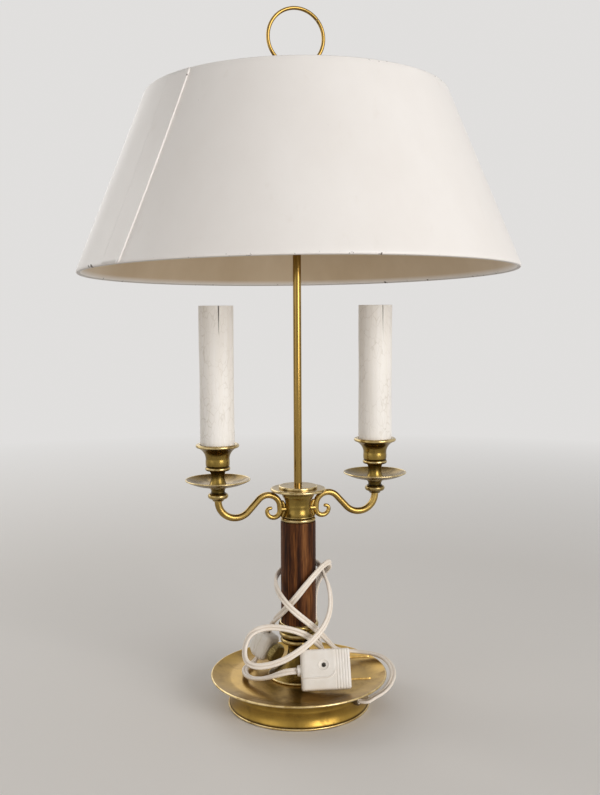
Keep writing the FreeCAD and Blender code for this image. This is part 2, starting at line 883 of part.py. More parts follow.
knop_outline = [
    (arm_hole, knop_bottom),
    (size.knop_foot_radius, knop_bottom, -shallow),
    (knop_bead_root, knop_bead_level, half_round),
    (knop_bead_root, knop_bead_level + size.knop_bead_height, -shallow),
    (size.knop_waist_radius, knop_waist_level, -shallow),
    (size.knop_top_radius, pan_level - 1),
    (size.knop_top_radius, pan_level),
    (nipple_hole, pan_level),
    (nipple_hole, arm_top_level),
    (arm_hole, arm_top_level),
]
pan_outline = [
    (nipple_hole, pan_level),
    (size.pan_flat_radius, pan_level, 0.06),
    (pan_edge, pan_rim_level, half_round),
    (pan_edge, pan_rim_level + size.pan_thickness, -0.06),
    (size.pan_flat_radius, pan_top),
    (nipple_hole, pan_top),
]
cup_outline = [
    (nipple_hole, pan_top),
    (size.cup_foot_radius, pan_top),
    (size.cup_foot_radius, pan_top + 1, -shallow),
    (size.cup_stem_radius, cup_bead_level - 2, -quarter_round),
    (cup_bead_root, cup_bead_level, 0.35),
    (cup_bead_root, cup_bead_top),
    (size.cup_body_radius, cup_bead_top + 1, 0.03),
    (size.cup_body_radius, cup_body_level, -0.15),
    (cup_rim_edge, cup_rim_under, half_round),
    (cup_rim_edge, cup_rim_level),
    (cup_recess_radius, cup_rim_level),
    (cup_recess_radius, sleeve_bottom),
    (nipple_hole, sleeve_bottom),
]
nipple_outline = [
    (size.nipple_bore_radius, arm_top_level),
    (size.nipple_radius, arm_top_level),
    (size.nipple_radius, nipple_top),
    (size.nipple_bore_radius, nipple_top),
]
holder_outline = [
    (nipple_hole, holder_bottom),
    (size.holder_neck_radius, holder_bottom),
    (size.holder_neck_radius, holder_bottom + size.holder_neck_length),
    (size.holder_radius, holder_bottom + size.holder_neck_length + 3),
    (size.holder_radius, holder_top - 1),
    (size.holder_radius - 1, holder_top),
    (shell_outer + size.fit_clearance, holder_top),
    (shell_outer + size.fit_clearance, contact_level),
    (size.nipple_bore_radius, contact_level),
    (size.nipple_bore_radius, nipple_top),
    (nipple_hole, nipple_top),
]
shell_outline = [
    (size.shell_bore_radius, shell_top - size.shell_length),
    (shell_outer, shell_top - size.shell_length),
    (shell_outer, shell_top),
    (size.shell_bore_radius, shell_top),
]
contact_outline = [
    (0, contact_level),
    (size.contact_radius, contact_level),
    (size.contact_radius, contact_level + size.contact_thickness),
    (size.contact_tip_radius, contact_level + size.contact_thickness),
    (size.contact_tip_radius, contact_level + size.contact_height - 1, quarter_round),
    (size.contact_tip_radius - 1, contact_level + size.contact_height),
    (0, contact_level + size.contact_height),
]
sleeve_outline = [
    (size.sleeve_radius - size.sleeve_wall, sleeve_bottom),
    (size.sleeve_radius, sleeve_bottom),
    (size.sleeve_radius, sleeve_top),
    (size.sleeve_radius - size.sleeve_wall, sleeve_top),
]
branch_outlines = {
    "knop": knop_outline,
    "drip_pan": pan_outline,
    "candle_cup": cup_outline,
    "candle_tube": nipple_outline,
    "lampholder": holder_outline,
    "screw_shell": shell_outline,
    "centre_contact": contact_outline,
    "candle_sleeve": sleeve_outline,
}

for side, sign, half_turn in (("left", -1, 180), ("right", 1, 0)):
    swung = Placement(Vector(), Rotation(Vector(0, 0, 1), half_turn))
    node(f"scroll_arm_{side}", shaped(f"scroll_arm_{side}", arm_shape, swung))
    node(f"arm_wires_{side}", shaped(f"arm_wires_{side}", wire_shape, swung))
    for piece, outline in branch_outlines.items():
        made = turned(f"{piece}_{side}", outline)
        node(f"{piece}_{side}", bind(made, Placement_Base_x=size.arm_reach_length * sign))

# ---------------------------------------------------------------- shade

slope = (size.shade_bottom_radius - size.shade_top_radius) / size.shade_height
slant = (1 + slope * slope).root()
sheet_across = size.shade_sheet * slant
inset = sheet_across + size.shade_wire_radius * slant
top_wire_level = shade_top_level - size.shade_wire_radius
top_wire_ring = size.shade_top_radius + size.shade_wire_radius * slope - inset
bottom_wire_level = shade_bottom_level + size.shade_wire_radius
bottom_wire_ring = size.shade_bottom_radius - size.shade_wire_radius * slope - inset

# The shade hangs a little out of level, its front up: each spider arm slopes to meet it.
tilt_pivot = Vector(0, 0, float(top_wire_level))
tilt = Placement(Vector(), Rotation(Vector(1, 0, 0), -float(size.shade_tilt_degrees)), tilt_pivot)


def tilted_node(label, made, place=Placement()):
    """A piece of the shade, made level and then tilted about the spider's middle."""
    made.Placement = tilt * place
    return node(label, made)


tilted_node("shade_skin", turned("shade_skin", [
    (size.shade_bottom_radius - sheet_across, shade_bottom_level),
    (size.shade_bottom_radius, shade_bottom_level),
    (size.shade_top_radius, shade_top_level),
    (size.shade_top_radius - sheet_across, shade_top_level),
]))

seam_lap = turned("shade_seam", [
    (size.shade_bottom_radius, shade_bottom_level),
    (size.shade_bottom_radius + sheet_across, shade_bottom_level),
    (size.shade_top_radius + sheet_across, shade_top_level),
    (size.shade_top_radius, shade_top_level),
], size.seam_width_degrees)
seam_way = Rotation(Vector(0, 0, 1), float(size.seam_azimuth))
tilted_node("shade_seam", seam_lap, Placement(Vector(), seam_way))

for label, ring_radius, level in (
    ("shade_top_wire", top_wire_ring, top_wire_level),
    ("shade_bottom_wire", bottom_wire_ring, bottom_wire_level),
):
    wire = doc.addObject("Part::Torus", label)
    bind(wire, Radius1=ring_radius, Radius2=size.shade_wire_radius)
    tilted_node(label, wire, Placement(Vector(0, 0, float(level)), Rotation()))

# ---------------------------------------------------------------- shade carrier

spider_bottom = top_wire_level - size.spider_washer_thickness / 2
spider_top = spider_bottom + size.spider_washer_thickness
carrier_bottom = spider_bottom - size.carrier_height
slide_hole = size.rod_radius + size.slide_clearance
neck_hole = size.carrier_neck_radius + size.fit_clearance
thumbscrew_level = spider_bottom - size.thumbscrew_drop
thumbscrew_hole = size.thumbscrew_radius + size.slide_clearance

spider_washer = turned("spider_washer", [
    (neck_hole, spider_bottom),
    (size.spider_washer_radius, spider_bottom),
    (size.spider_washer_radius, spider_top),
    (neck_hole, spider_top),
])
arm_start = size.spider_washer_radius - 1
spider_pieces = [spider_washer]
for number in range(3):
    azimuth = float(size.spider_first_azimuth) + 120 * number
    level_way = toward(azimuth).multVec(Vector(0, 0, 1))
    foot = tilt_pivot + level_way * float(arm_start)
    way = tilt.multVec(tilt_pivot + level_way * float(top_wire_ring)) - foot
    spider_arm = cylinder(
        f"spider_arm_{number}",
        size.spider_arm_radius,
        way.Length - float(size.shade_wire_radius) / 2,
        Placement(foot, Rotation(Vector(0, 0, 1), way)),
    )
    spider_pieces.append(spider_arm)
wire_seat = bind(
    doc.addObject("Part::Torus", "wire_seat"),
    Radius1=top_wire_ring,
    Radius2=size.shade_wire_radius,
)
wire_seat.Placement = tilt * Placement(tilt_pivot, Rotation())
node("shade_spider", cut("shade_spider", fused("spider_blank", spider_pieces), wire_seat))

carrier_blank = turned("carrier_blank", [
    (slide_hole, carrier_bottom),
    (size.carrier_radius - 1.5, carrier_bottom, quarter_round),
    (size.carrier_radius, carrier_bottom + 1.5),
    (size.carrier_radius, spider_bottom),
    (size.carrier_neck_radius, spider_bottom),
    (size.carrier_neck_radius, spider_top + size.ring_nut_height + 1),
    (slide_hole, spider_top + size.ring_nut_height + 1),
])
screw_hole = cylinder("screw_hole", thumbscrew_hole, 2 * size.carrier_radius)
screw_hole.Placement = Placement(Vector(), toward(-90))
bind(screw_hole, Placement_Base_z=thumbscrew_level)
node("shade_carrier", cut("shade_carrier", carrier_blank, screw_hole))

node("carrier_nut", turned("carrier_nut", [
    (neck_hole, spider_top),
    (size.ring_nut_radius, spider_top),
    (size.ring_nut_radius, spider_top + size.ring_nut_height),
    (neck_hole, spider_top + size.ring_nut_height),
]))

shank_start = size.rod_radius + size.thumbscrew_gap
shank_end = size.carrier_radius + size.thumbscrew_stem
shank = cylinder("shank", size.thumbscrew_radius, shank_end - shank_start)
shank.Placement = Placement(Vector(), toward(-90))
bind(shank, Placement_Base_y=-shank_start, Placement_Base_z=thumbscrew_level)
collar = cylinder("collar", size.collar_radius, size.collar_length)
collar.Placement = Placement(Vector(), toward(-90))
bind(collar, Placement_Base_y=-shank_end, Placement_Base_z=thumbscrew_level)
wing = box("wing", size.wing_thickness, size.wing_height, size.wing_width)
bind(
    wing,
    Placement_Base_x=-size.wing_thickness / 2,
    Placement_Base_y=-shank_end - size.collar_length - size.wing_height + 1,
    Placement_Base_z=thumbscrew_level - size.wing_width / 2,
)
doc.recompute()
wing_blank = doc.addObject("Part::Fillet", "wing_rounded")
wing_blank.Base = wing
rounding = float(size.wing_width) * 0.3
wing_edges = [
    number
    for number, edge in enumerate(wing.Shape.Edges, 1)
    if abs(edge.tangentAt(edge.FirstParameter).x) > 0.9
]
wing_blank.Edges = [(number, rounding, rounding) for number in wing_edges]
node("shade_thumbscrew", fused("shade_thumbscrew", [shank, collar, wing_blank]))

# ---------------------------------------------------------------- cord


def flex_edges(points, widest=math.inf):
    """Straight runs joined by tangent arcs, each as large as its two runs allow."""
    edges = []
    radii = []
    start = points[0]
    for before, corner, after in zip(points, points[1:], points[2:]):
        coming = (corner - before).normalize()
        going = (after - corner).normalize()
        turn = coming.getAngle(going)
        room = 0.45 * min(before.distanceToPoint(corner), after.distanceToPoint(corner))
        radius = min(widest, room / math.tan(turn / 2))
        setback = radius * math.tan(turn / 2)
        inside = (going - coming).normalize()
        rise = radius / math.cos(turn / 2) - radius
        arc_start = corner - coming * setback
        arc_end = corner + going * setback
        edges.append(line(start, arc_start))
        edges.append(Part.Arc(arc_start, corner + inside * rise, arc_end).toShape())
        radii.append(round(radius, 1))
        start = arc_end
    edges.append(line(start, points[-1]))
    print("bend radii", radii)
    return edges


def flex(name, points, widest=math.inf):
    """A round cord solid along the points, checked against section times length."""
    edges = flex_edges(points, widest)
    radius = float(size.flex_radius)
    solid = even_pipe(edges, radius)
    wanted = math.pi * radius**2 * sum(edge.Length for edge in edges)
    print(name, "volume over section times length", round(solid.Volume / wanted, 4))
    return shaped(name, solid)


grommet_reach = float(grommet_end)
flex_level = float(grommet_level)
outward = grommet_way.multVec(Vector(0, 0, 1))


def from_grommet(radius, level):
    """A point above the grommet's bearing, at a radius and a height."""
    return outward * radius + Vector(0, 0, level)


flex_low = float(size.felt_thickness) + 2 * float(size.flex_radius)
node("inner_flex", flex("inner_flex", [
    from_grommet(grommet_reach, flex_level),
    from_grommet(float(size.ballast_inner_radius) * 2, flex_level),
    from_grommet(float(size.ballast_inner_radius), flex_low),
    from_grommet(0, flex_low),
    Vector(0, 0, float(chamber_roof) - float(size.wire_tail_length) * 4),
], float(tube_bottom) - flex_low + 0.8))

# The route out of the base, once round the dish and through the loops of the
# hank that leans on the column, to the switch.
cord_to_switch = [
    (52.9, -53.0, 19.1),
    (63.1, -47.3, 20.3),
    (72.2, -39.8, 22.3),
    (81.0, -28.6, 26.8),
    (84.8, -12.0, 30.6),
    (82.2, 4.1, 32.9),
    (73.8, 18.6, 32.4),
    (60.2, 27.2, 32.3),
    (45.2, 18.5, 37.7),
    (34.1, 3.8, 46.3),
    (23.4, -12.1, 59.8),
    (11.3, -22.4, 73.5),
    (-0.8, -25.1, 84.5),
    (-11.8, -24.4, 94.2),
    (-18.7, -19.5, 102.3),
    (-21.9, -10.1, 108.7),
    (-21.3, 1.4, 113.7),
    (-15.6, 14.8, 117.1),
    (-5.2, 21.4, 121.9),
    (5.7, 21.2, 125.9),
    (14.8, 15.9, 127.1),
    (20.6, 4.1, 126.0),
    (21.3, -8.4, 119.6),
    (23.4, -17.2, 111.9),
    (23.7, -23.5, 101.8),
    (21.5, -28.6, 91.8),
    (16.5, -33.5, 83.0),
    (8.4, -38.2, 75.4),
    (-2.0, -41.8, 68.2),
    (-12.8, -43.7, 62.4),
    (-23.7, -43.0, 56.5),
    (-36.0, -41.0, 52.6),
    (-46.6, -37.3, 50.9),
    (-53.8, -31.9, 52.7),
    (-55.5, -27.3, 58.8),
    (-54.0, -24.6, 67.1),
    (-50.0, -22.5, 74.0),
    (-42.8, -22.3, 78.7),
    (-33.3, -23.6, 80.4),
    (-23.0, -25.7, 79.7),
    (-13.3, -28.1, 77.8),
    (-3.5, -28.5, 73.7),
    (5.4, -25.6, 67.4),
    (14.1, -17.0, 58.2),
    (21.8, -4.4, 48.0),
    (26.0, 8.9, 41.0),
    (25.1, 19.5, 45.0),
    (22.3, 23.3, 58.4),
    (20.0, 21.8, 75.4),
    (19.5, 17.8, 91.8),
    (21.2, 15.3, 104.7),
    (25.8, 11.1, 114.9),
    (30.3, 1.7, 123.6),
    (27.1, -7.8, 131.0),
    (18.4, -15.5, 129.5),
    (8.4, -20.2, 121.5),
    (-0.1, -21.1, 112.5),
    (-6.9, -19.4, 103.5),
    (-12.8, -15.3, 95.1),
    (-18.6, -8.7, 86.3),
    (-21.0, 2.7, 78.3),
    (-19.1, 13.6, 73.2),
    (-15.9, 24.2, 71.9),
]
cord_to_plug = [
    (-38.2, 29.6, 28.8),
    (-43.9, 22.0, 29.3),
    (-48.0, 11.2, 30.2),
    (-48.8, -0.5, 29.9),
    (-45.9, -11.2, 30.7),
    (-40.1, -20.3, 33.2),
    (-33.6, -28.3, 37.0),
    (-26.6, -34.2, 41.3),
]


def posed(centre, x_way, z_way):
    """Placement of a piece whose own X and Z point along the two ways."""
    z_axis = Vector(*z_way).normalize()
    y_axis = z_axis.cross(Vector(*x_way)).normalize()
    x_axis = y_axis.cross(z_axis)
    middle = Vector(*[float(along_axis) for along_axis in centre])
    return Placement(middle, Rotation(x_axis, y_axis, z_axis, "ZXY"))


switch_centre = (size.switch_centre_x, size.switch_centre_y, size.switch_centre_z)
plug_centre = (size.plug_centre_x, size.plug_centre_y, size.plug_centre_z)
switch_pose = posed(switch_centre, (0.552, -0.757, -0.350), (0.373, -0.151, 0.915))
plug_pose = posed(plug_centre, (0.973, -0.225, 0.040), (-0.221, -0.879, 0.423))


def along(pose, way, distance):
    """A point on a posed piece's own axis, at a distance from its middle."""
    return pose.multVec(Vector(*way) * distance)


half_switch = float(size.switch_length) / 2
plug_entry = float(size.plug_length) / 2 + float(size.plug_nozzle_length)

node("cord_to_switch", flex("cord_to_switch", [
    from_grommet(grommet_reach, flex_level),
    from_grommet(grommet_reach + 7, flex_level),
    *[Vector(*point) for point in cord_to_switch],
    along(switch_pose, (0, 0, 1), half_switch + 8),
    along(switch_pose, (0, 0, 1), half_switch),
]))
node("cord_to_plug", flex("cord_to_plug", [
    along(switch_pose, (0, 0, -1), half_switch),
    along(switch_pose, (0, 0, -1), half_switch + 6),
    *[Vector(*point) for point in cord_to_plug],
    along(plug_pose, (-1, 0, 0), plug_entry + 8),
    along(plug_pose, (-1, 0, 0), plug_entry),
]))


# ---------------------------------------------------------------- switch

# The switch's own Z runs along the cord and its knob looks along its own X.


def rounded_box(name, long, wide, tall, rounding, bottom=0):
    """A box on its own Z axis, with its upright edges rounded."""
    body = doc.addObject("PartDesign::Body", name)
    sketch = body.newObject("Sketcher::SketchObject", name + "_outline")
    sketch.AttachmentSupport = (origin_plane(body, "XY_Plane"), [""])
    sketch.MapMode = "FlatFace"
    corners = [(-1, -1), (1, -1), (1, 1), (-1, 1)]
    half_long = long / 2
    half_wide = wide / 2
    places = [Vector(float(half_long) * x, float(half_wide) * y, 0) for x, y in corners]
    for start, end in zip(places, places[1:] + places[:1]):
        sketch.addGeometry(Part.LineSegment(start, end), False)
    for edge, (x, y) in enumerate(corners):
        sketch.addConstraint(Sketcher.Constraint("Coincident", edge - 1 if edge else 3, 2, edge, 1))
        for kind, cell in (("DistanceX", half_long * x), ("DistanceY", half_wide * y)):
            made = sketch.addConstraint(Sketcher.Constraint(kind, -1, 1, edge, 1, float(cell)))
            sketch.setExpression(f"Constraints[{made}]", cell.text)
    pad = body.newObject("PartDesign::Pad", name + "_pad")
    pad.Profile = sketch
    bind(pad, Length=tall)
    doc.recompute()
    upright = [
        f"Edge{number}"
        for number, edge in enumerate(pad.Shape.Edges, 1)
        if abs(edge.tangentAt(edge.FirstParameter).z) > 0.9
    ]
    fillet = body.newObject("PartDesign::Fillet", name + "_fillet")
    fillet.Base = (pad, upright)
    bind(fillet, Radius=rounding)
    return bind(body, Placement_Base_z=bottom)


def kept(name, base, keeper):
    """The part of the base that lies inside the keeper."""
    made = doc.addObject("Part::Common", name)
    made.Base = base
    made.Tool = keeper
    return made


def posed_node(label, made, pose):
    made.Placement = pose
    return node(label, made)


def centred_box(name, long, wide, tall, x=0, y=0, z=0):
    """A box about a middle given on its own axes."""
    made = box(name, long, wide, tall)
    return bind(
        made,
        Placement_Base_x=x - as_cell(long) / 2,
        Placement_Base_y=y - as_cell(wide) / 2,
        Placement_Base_z=z - as_cell(tall) / 2,
    )


switch_half = size.switch_length / 2
switch_hollow_depth = size.switch_depth - 2 * size.switch_wall
switch_outside = rounded_box(
    "switch_outside", size.switch_depth, size.switch_width, size.switch_length,
    size.switch_rounding, -switch_half,
)
switch_inside = rounded_box(
    "switch_inside", switch_hollow_depth, size.switch_width - 2 * size.switch_wall,
    size.switch_length - 2 * size.switch_wall, size.switch_rounding - size.switch_wall,
    size.switch_wall - switch_half,
)
switch_walls = cut("switch_walls", switch_outside, switch_inside)
switch_back = -size.switch_depth / 2
seam_x = switch_back + size.switch_shell_depth
front_depth = size.switch_depth - size.switch_shell_depth
rear_keeper = centred_box(
    "rear_keeper", size.switch_shell_depth, size.switch_width, size.switch_length,
    switch_back + size.switch_shell_depth / 2,
)
front_keeper = centred_box(
    "front_keeper", front_depth, size.switch_width, size.switch_length, seam_x + front_depth / 2
)
button_passage = cylinder(
    "button_passage", size.button_stem_radius + size.slide_clearance, size.switch_depth
)
button_passage.Placement = Placement(Vector(), toward(0))
switch_front = kept("switch_front", switch_walls, front_keeper)
posed_node("switch_base", kept("switch_base", switch_walls, rear_keeper), switch_pose)
posed_node("switch_cover", cut("switch_cover", switch_front, button_passage), switch_pose)

contact_strip = centred_box(
    "contact_strip", size.switch_contact_thickness, size.switch_contact_width,
    size.switch_contact_length,
    switch_back + size.switch_wall + size.switch_contact_thickness / 2,
)
posed_node("switch_contact", fused("switch_contact", [contact_strip, centred_box(
    "contact_stud", size.switch_contact_rise, size.switch_contact_thickness * 2,
    size.switch_contact_thickness * 2, switch_back + size.switch_wall + size.switch_contact_rise / 2,
)]), switch_pose)

head_start = size.switch_depth / 2 + size.button_travel + size.button_clearance
head_end = head_start + size.button_height
button = turned("switch_button", [
    (0, head_start - size.button_stem),
    (size.button_stem_radius, head_start - size.button_stem),
    (size.button_stem_radius, head_start),
    (size.button_radius, head_start),
    (size.button_radius, head_end - size.button_rounding, quarter_round),
    (size.button_radius - size.button_rounding, head_end),
    (0, head_end),
])
posed_node("switch_button", button, switch_pose * Placement(Vector(), toward(0)))

# ---------------------------------------------------------------- plug

# The plug's own X runs out along the blades and its screw looks along its own Z.
plug_front = size.plug_length / 2
blade_from = plug_front - size.blade_root
blade_full = size.blade_root + size.blade_length
half_spacing = size.blade_spacing / 2
rib_cells = 2 * size.plug_rib_depth


def rib_cutters(level, half):
    """Bars that cut the finger grooves across one half, near the blades."""
    bars = []
    for number in range(5):
        inset = size.plug_rib_inset + size.plug_rib_pitch * number
        bars.append(centred_box(
            f"{half}_groove_{number}", size.plug_rib_width, size.plug_width * 1.1, rib_cells,
            plug_front - inset, 0, level,
        ))
    return bars


def blade_box(name, sign, clearance=0):
    """One blade, or its slot, on edge across the seam, its flat faces up and down the plug."""
    return centred_box(
        name, blade_full, size.blade_thickness + 2 * clearance,
        size.blade_width + 2 * clearance, blade_from + blade_full / 2, half_spacing * sign,
    )


def blade_slots(half):
    return [blade_box(f"{half}_slot_{side}", sign, size.fit_clearance)
            for side, sign in (("lower", -1), ("upper", 1))]


cavity = centred_box(
    "plug_cavity", size.plug_cavity_length, size.plug_cavity_width, size.plug_cavity_depth
)
screw_foot = size.plug_wall - size.plug_base_depth
screw_top = size.plug_cover_depth - size.plug_screw_sink
screw_shoulder = screw_top - size.plug_screw_head
screw_hole = size.plug_screw_radius + size.fit_clearance
head_hole = size.plug_screw_head_radius + size.fit_clearance
screw_well = turned("screw_well", [
    (0, screw_foot),
    (screw_hole, screw_foot),
    (screw_hole, screw_shoulder),
    (head_hole, screw_shoulder),
    (head_hole, screw_top),
    (head_hole + size.plug_screw_sink, size.plug_cover_depth),
    (0, size.plug_cover_depth),
])
screw_spot = Placement(
    Vector(-float(size.plug_screw_setback), float(size.plug_screw_rise), 0), Rotation()
)
screw_well.Placement = screw_spot
nozzle = cylinder(
    "plug_nozzle", size.plug_nozzle_radius, size.plug_nozzle_length + size.plug_wall
)
nozzle.Placement = Placement(Vector(), toward(0))
bind(nozzle, Placement_Base_x=-plug_front - size.plug_nozzle_length)
nozzle_room = cylinder(
    "nozzle_room", size.plug_nozzle_radius + size.fit_clearance, size.plug_wall * 2
)
nozzle_room.Placement = Placement(Vector(), toward(0))
bind(nozzle_room, Placement_Base_x=-plug_front - size.plug_wall)

base_block = rounded_box(
    "base_block", size.plug_length, size.plug_width, size.plug_base_depth, size.plug_rounding,
    -size.plug_base_depth,
)
base_cutters = fused(
    "base_cutters",
    [cavity, screw_well]
    + rib_cutters(-size.plug_base_depth, "base")
    + blade_slots("base"),
)
plug_base_bare = cut("plug_base_bare", base_block, base_cutters)
posed_node("plug_base", fused("plug_base", [plug_base_bare, nozzle]), plug_pose)

cover_block = rounded_box(
    "cover_block", size.plug_length, size.plug_width, size.plug_cover_depth, size.plug_rounding
)
cover_cutters = fused(
    "cover_cutters",
    [cavity, screw_well, nozzle_room]
    + rib_cutters(size.plug_cover_depth, "cover")
    + blade_slots("cover"),
)
posed_node("plug_cover", cut("plug_cover", cover_block, cover_cutters), plug_pose)

screw_blank = turned("screw_blank", [
    (0, screw_foot),
    (size.plug_screw_radius, screw_foot),
    (size.plug_screw_radius, screw_shoulder),
    (size.plug_screw_head_radius, screw_shoulder),
    (size.plug_screw_head_radius, screw_top),
    (0, screw_top),
])
screw_slot = centred_box(
    "screw_slot", size.plug_screw_head_radius * 3, size.plug_screw_slot, size.plug_screw_slot * 2,
    0, 0, screw_top,
)
posed_node("plug_screw", cut("plug_screw", screw_blank, screw_slot), plug_pose * screw_spot)
for side, sign in (("lower", -1), ("upper", 1)):
    blank = blade_box(f"blade_blank_{side}", sign)
    doc.recompute()
    tip_edges = [
        number
        for number, edge in enumerate(blank.Shape.Edges, 1)
        if edge.BoundBox.XMin > float(plug_front)
    ]
    blade = doc.addObject("Part::Chamfer", f"plug_blade_{side}")
    blade.Base = blank
    taper = float(size.blade_thickness) * 0.3
    blade.Edges = [(number, taper, taper) for number in tip_edges]
    posed_node(f"plug_blade_{side}", blade, plug_pose)

# ---------------------------------------------------------------- check and write

doc.recompute()
for item in doc.Objects:
    if "Invalid" in item.State or "Error" in item.State:
        raise RuntimeError(f"{item.Name} failed: {item.State}")

os.makedirs("parts", exist_ok=True)
for made in nodes:
    if made.Shape.isNull() or not made.Shape.isValid():
        raise RuntimeError(f"{made.Label} has no valid shape")
    made.Shape.exportStep(f"parts/{made.Label}.step")
    print(f"{made.Label}: {made.Shape.Volume / 1000:.2f} cm3")
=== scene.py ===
import bpy
import bmesh
import math
import numpy as np
from mathutils import Matrix, Vector


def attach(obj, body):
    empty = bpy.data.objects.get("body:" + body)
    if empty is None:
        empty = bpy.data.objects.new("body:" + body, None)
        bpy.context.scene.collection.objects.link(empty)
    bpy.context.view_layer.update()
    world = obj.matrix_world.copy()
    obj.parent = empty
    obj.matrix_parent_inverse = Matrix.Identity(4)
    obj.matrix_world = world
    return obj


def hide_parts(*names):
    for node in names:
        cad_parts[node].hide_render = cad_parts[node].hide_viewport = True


# A two-light bouillotte lamp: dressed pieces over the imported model.
# Sizes in the settings below are millimetres and angles are degrees; the routes of the flex
# and the places of the studio's lamps are metres.

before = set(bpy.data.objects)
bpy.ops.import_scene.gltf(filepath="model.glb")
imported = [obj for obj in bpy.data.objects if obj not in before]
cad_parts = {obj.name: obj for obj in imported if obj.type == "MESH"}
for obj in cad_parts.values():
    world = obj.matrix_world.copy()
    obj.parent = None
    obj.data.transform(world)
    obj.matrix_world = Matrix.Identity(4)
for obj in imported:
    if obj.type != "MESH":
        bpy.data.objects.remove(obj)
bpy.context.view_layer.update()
mm = 0.001
scene = bpy.context.scene
scene.view_settings.view_transform = "Standard"
print("frame loaded,", len(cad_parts), "nodes")


cameraView = {
    "place": (-209.32, -833.62, 361.0),
    "turn": -14.165,       # about Z
    "pitch": -5.493,       # below level
    "roll": -0.262,
    "lens": 44.247,
    "shift": 0.0016,       # picture moved left, as a share of its longer side
}


def linked(name, data):
    # A new object in the scene with this data.
    holder = bpy.data.objects.new(name, data)
    scene.collection.objects.link(holder)
    return holder


def addCamera(view):
    # Rolled about its own line of sight, then pitched, then turned about the upright axis.
    cameraData = bpy.data.cameras.new("camera")
    cameraData.lens = view["lens"]
    cameraData.sensor_fit = "AUTO"
    cameraData.sensor_width = 36.0
    cameraData.clip_start = 0.01
    cameraData.shift_x = view["shift"]
    camera = linked("camera", cameraData)
    camera.matrix_world = (
        Matrix.Translation(Vector(view["place"]) * mm)
        @ Matrix.Rotation(math.radians(view["turn"]), 4, "Z")
        @ Matrix.Rotation(math.radians(90 + view["pitch"]), 4, "X")
        @ Matrix.Rotation(math.radians(view["roll"]), 4, "Z")
    )
    scene.camera = camera


addCamera(cameraView)


lineStep = 0.1    # spacing of the points along an outline before it is thinned


def unit(vectors):
    # Each vector at length 1.
    return vectors / np.maximum(np.linalg.norm(vectors, axis=-1, keepdims=True), 1e-12)


def steps(points):
    # The distance from each point of a line to the next.
    return np.linalg.norm(np.diff(points, axis=0), axis=1)


def bell(values, sigma, wrap):
    # Each row becomes the bell-weighted mean of its neighbours; open ends stay where they are.
    reach = max(1, int(3 * sigma))
    if not wrap:
        reach = min(reach, len(values) - 1)
    weights = np.exp(-0.5 * (np.arange(-reach, reach + 1) / max(sigma, 1e-6)) ** 2)
    weights = weights / weights.sum()
    if wrap:
        padded = np.concatenate([values[-reach:], values, values[:reach]])
    else:
        before = 2 * values[0] - values[reach:0:-1]
        after = 2 * values[-1] - values[-2:-reach - 2:-1]
        padded = np.concatenate([before, values, after])
    return np.stack([np.convolve(column, weights, "valid") for column in padded.T], axis=1)


def evenly(points, step):
    # The same line again, as points one step apart.
    lengths = np.r_[0, np.cumsum(steps(points))]
    wanted = np.linspace(0, lengths[-1], max(4, int(lengths[-1] / step)))
    return np.stack([np.interp(wanted, lengths, column) for column in points.T], axis=1)


def ramp(value, run=1):
    # 0 below nothing, 1 from the run on, and a straight slope between them.
    return np.clip(value / run, 0, 1)


def dip(value, middle, width):
    # A smooth hollow, 1 at the middle and 0 beyond the width.
    return np.clip(1 - ((value - middle) / width) ** 2, 0, 1) ** 2


def allRound(count):
    # Angles evenly round a circle.
    return np.linspace(0, 2 * math.pi, count, endpoint=False)


def aroundAxis(radius, angle, height, centre=(0, 0)):
    # A grid of points at a radius, an angle and a height about an upright axis.
    return np.stack(np.broadcast_arrays(
        centre[0] + radius * np.cos(angle), centre[1] + radius * np.sin(angle), height), axis=-1)


def arcBetween(start, end, bulge):
    # A straight run, or the arc that rises bulge times its chord to the right of its way.
    way = end - start
    chord = np.linalg.norm(way)
    share = np.linspace(0, 1, max(3, int(chord / lineStep)), endpoint=False)[:, None]
    if bulge == 0:
        return start + way * share
    ahead = way / chord
    right = np.array([ahead[1], -ahead[0]])
    sweep = 4 * math.atan(2 * bulge)
    radius = chord / (2 * math.sin(sweep / 2))
    centre = (start + end) / 2 - right * radius * math.cos(sweep / 2)
    angle = (share - 0.5) * sweep
    return centre + right * radius * np.cos(angle) + ahead * radius * np.sin(angle)


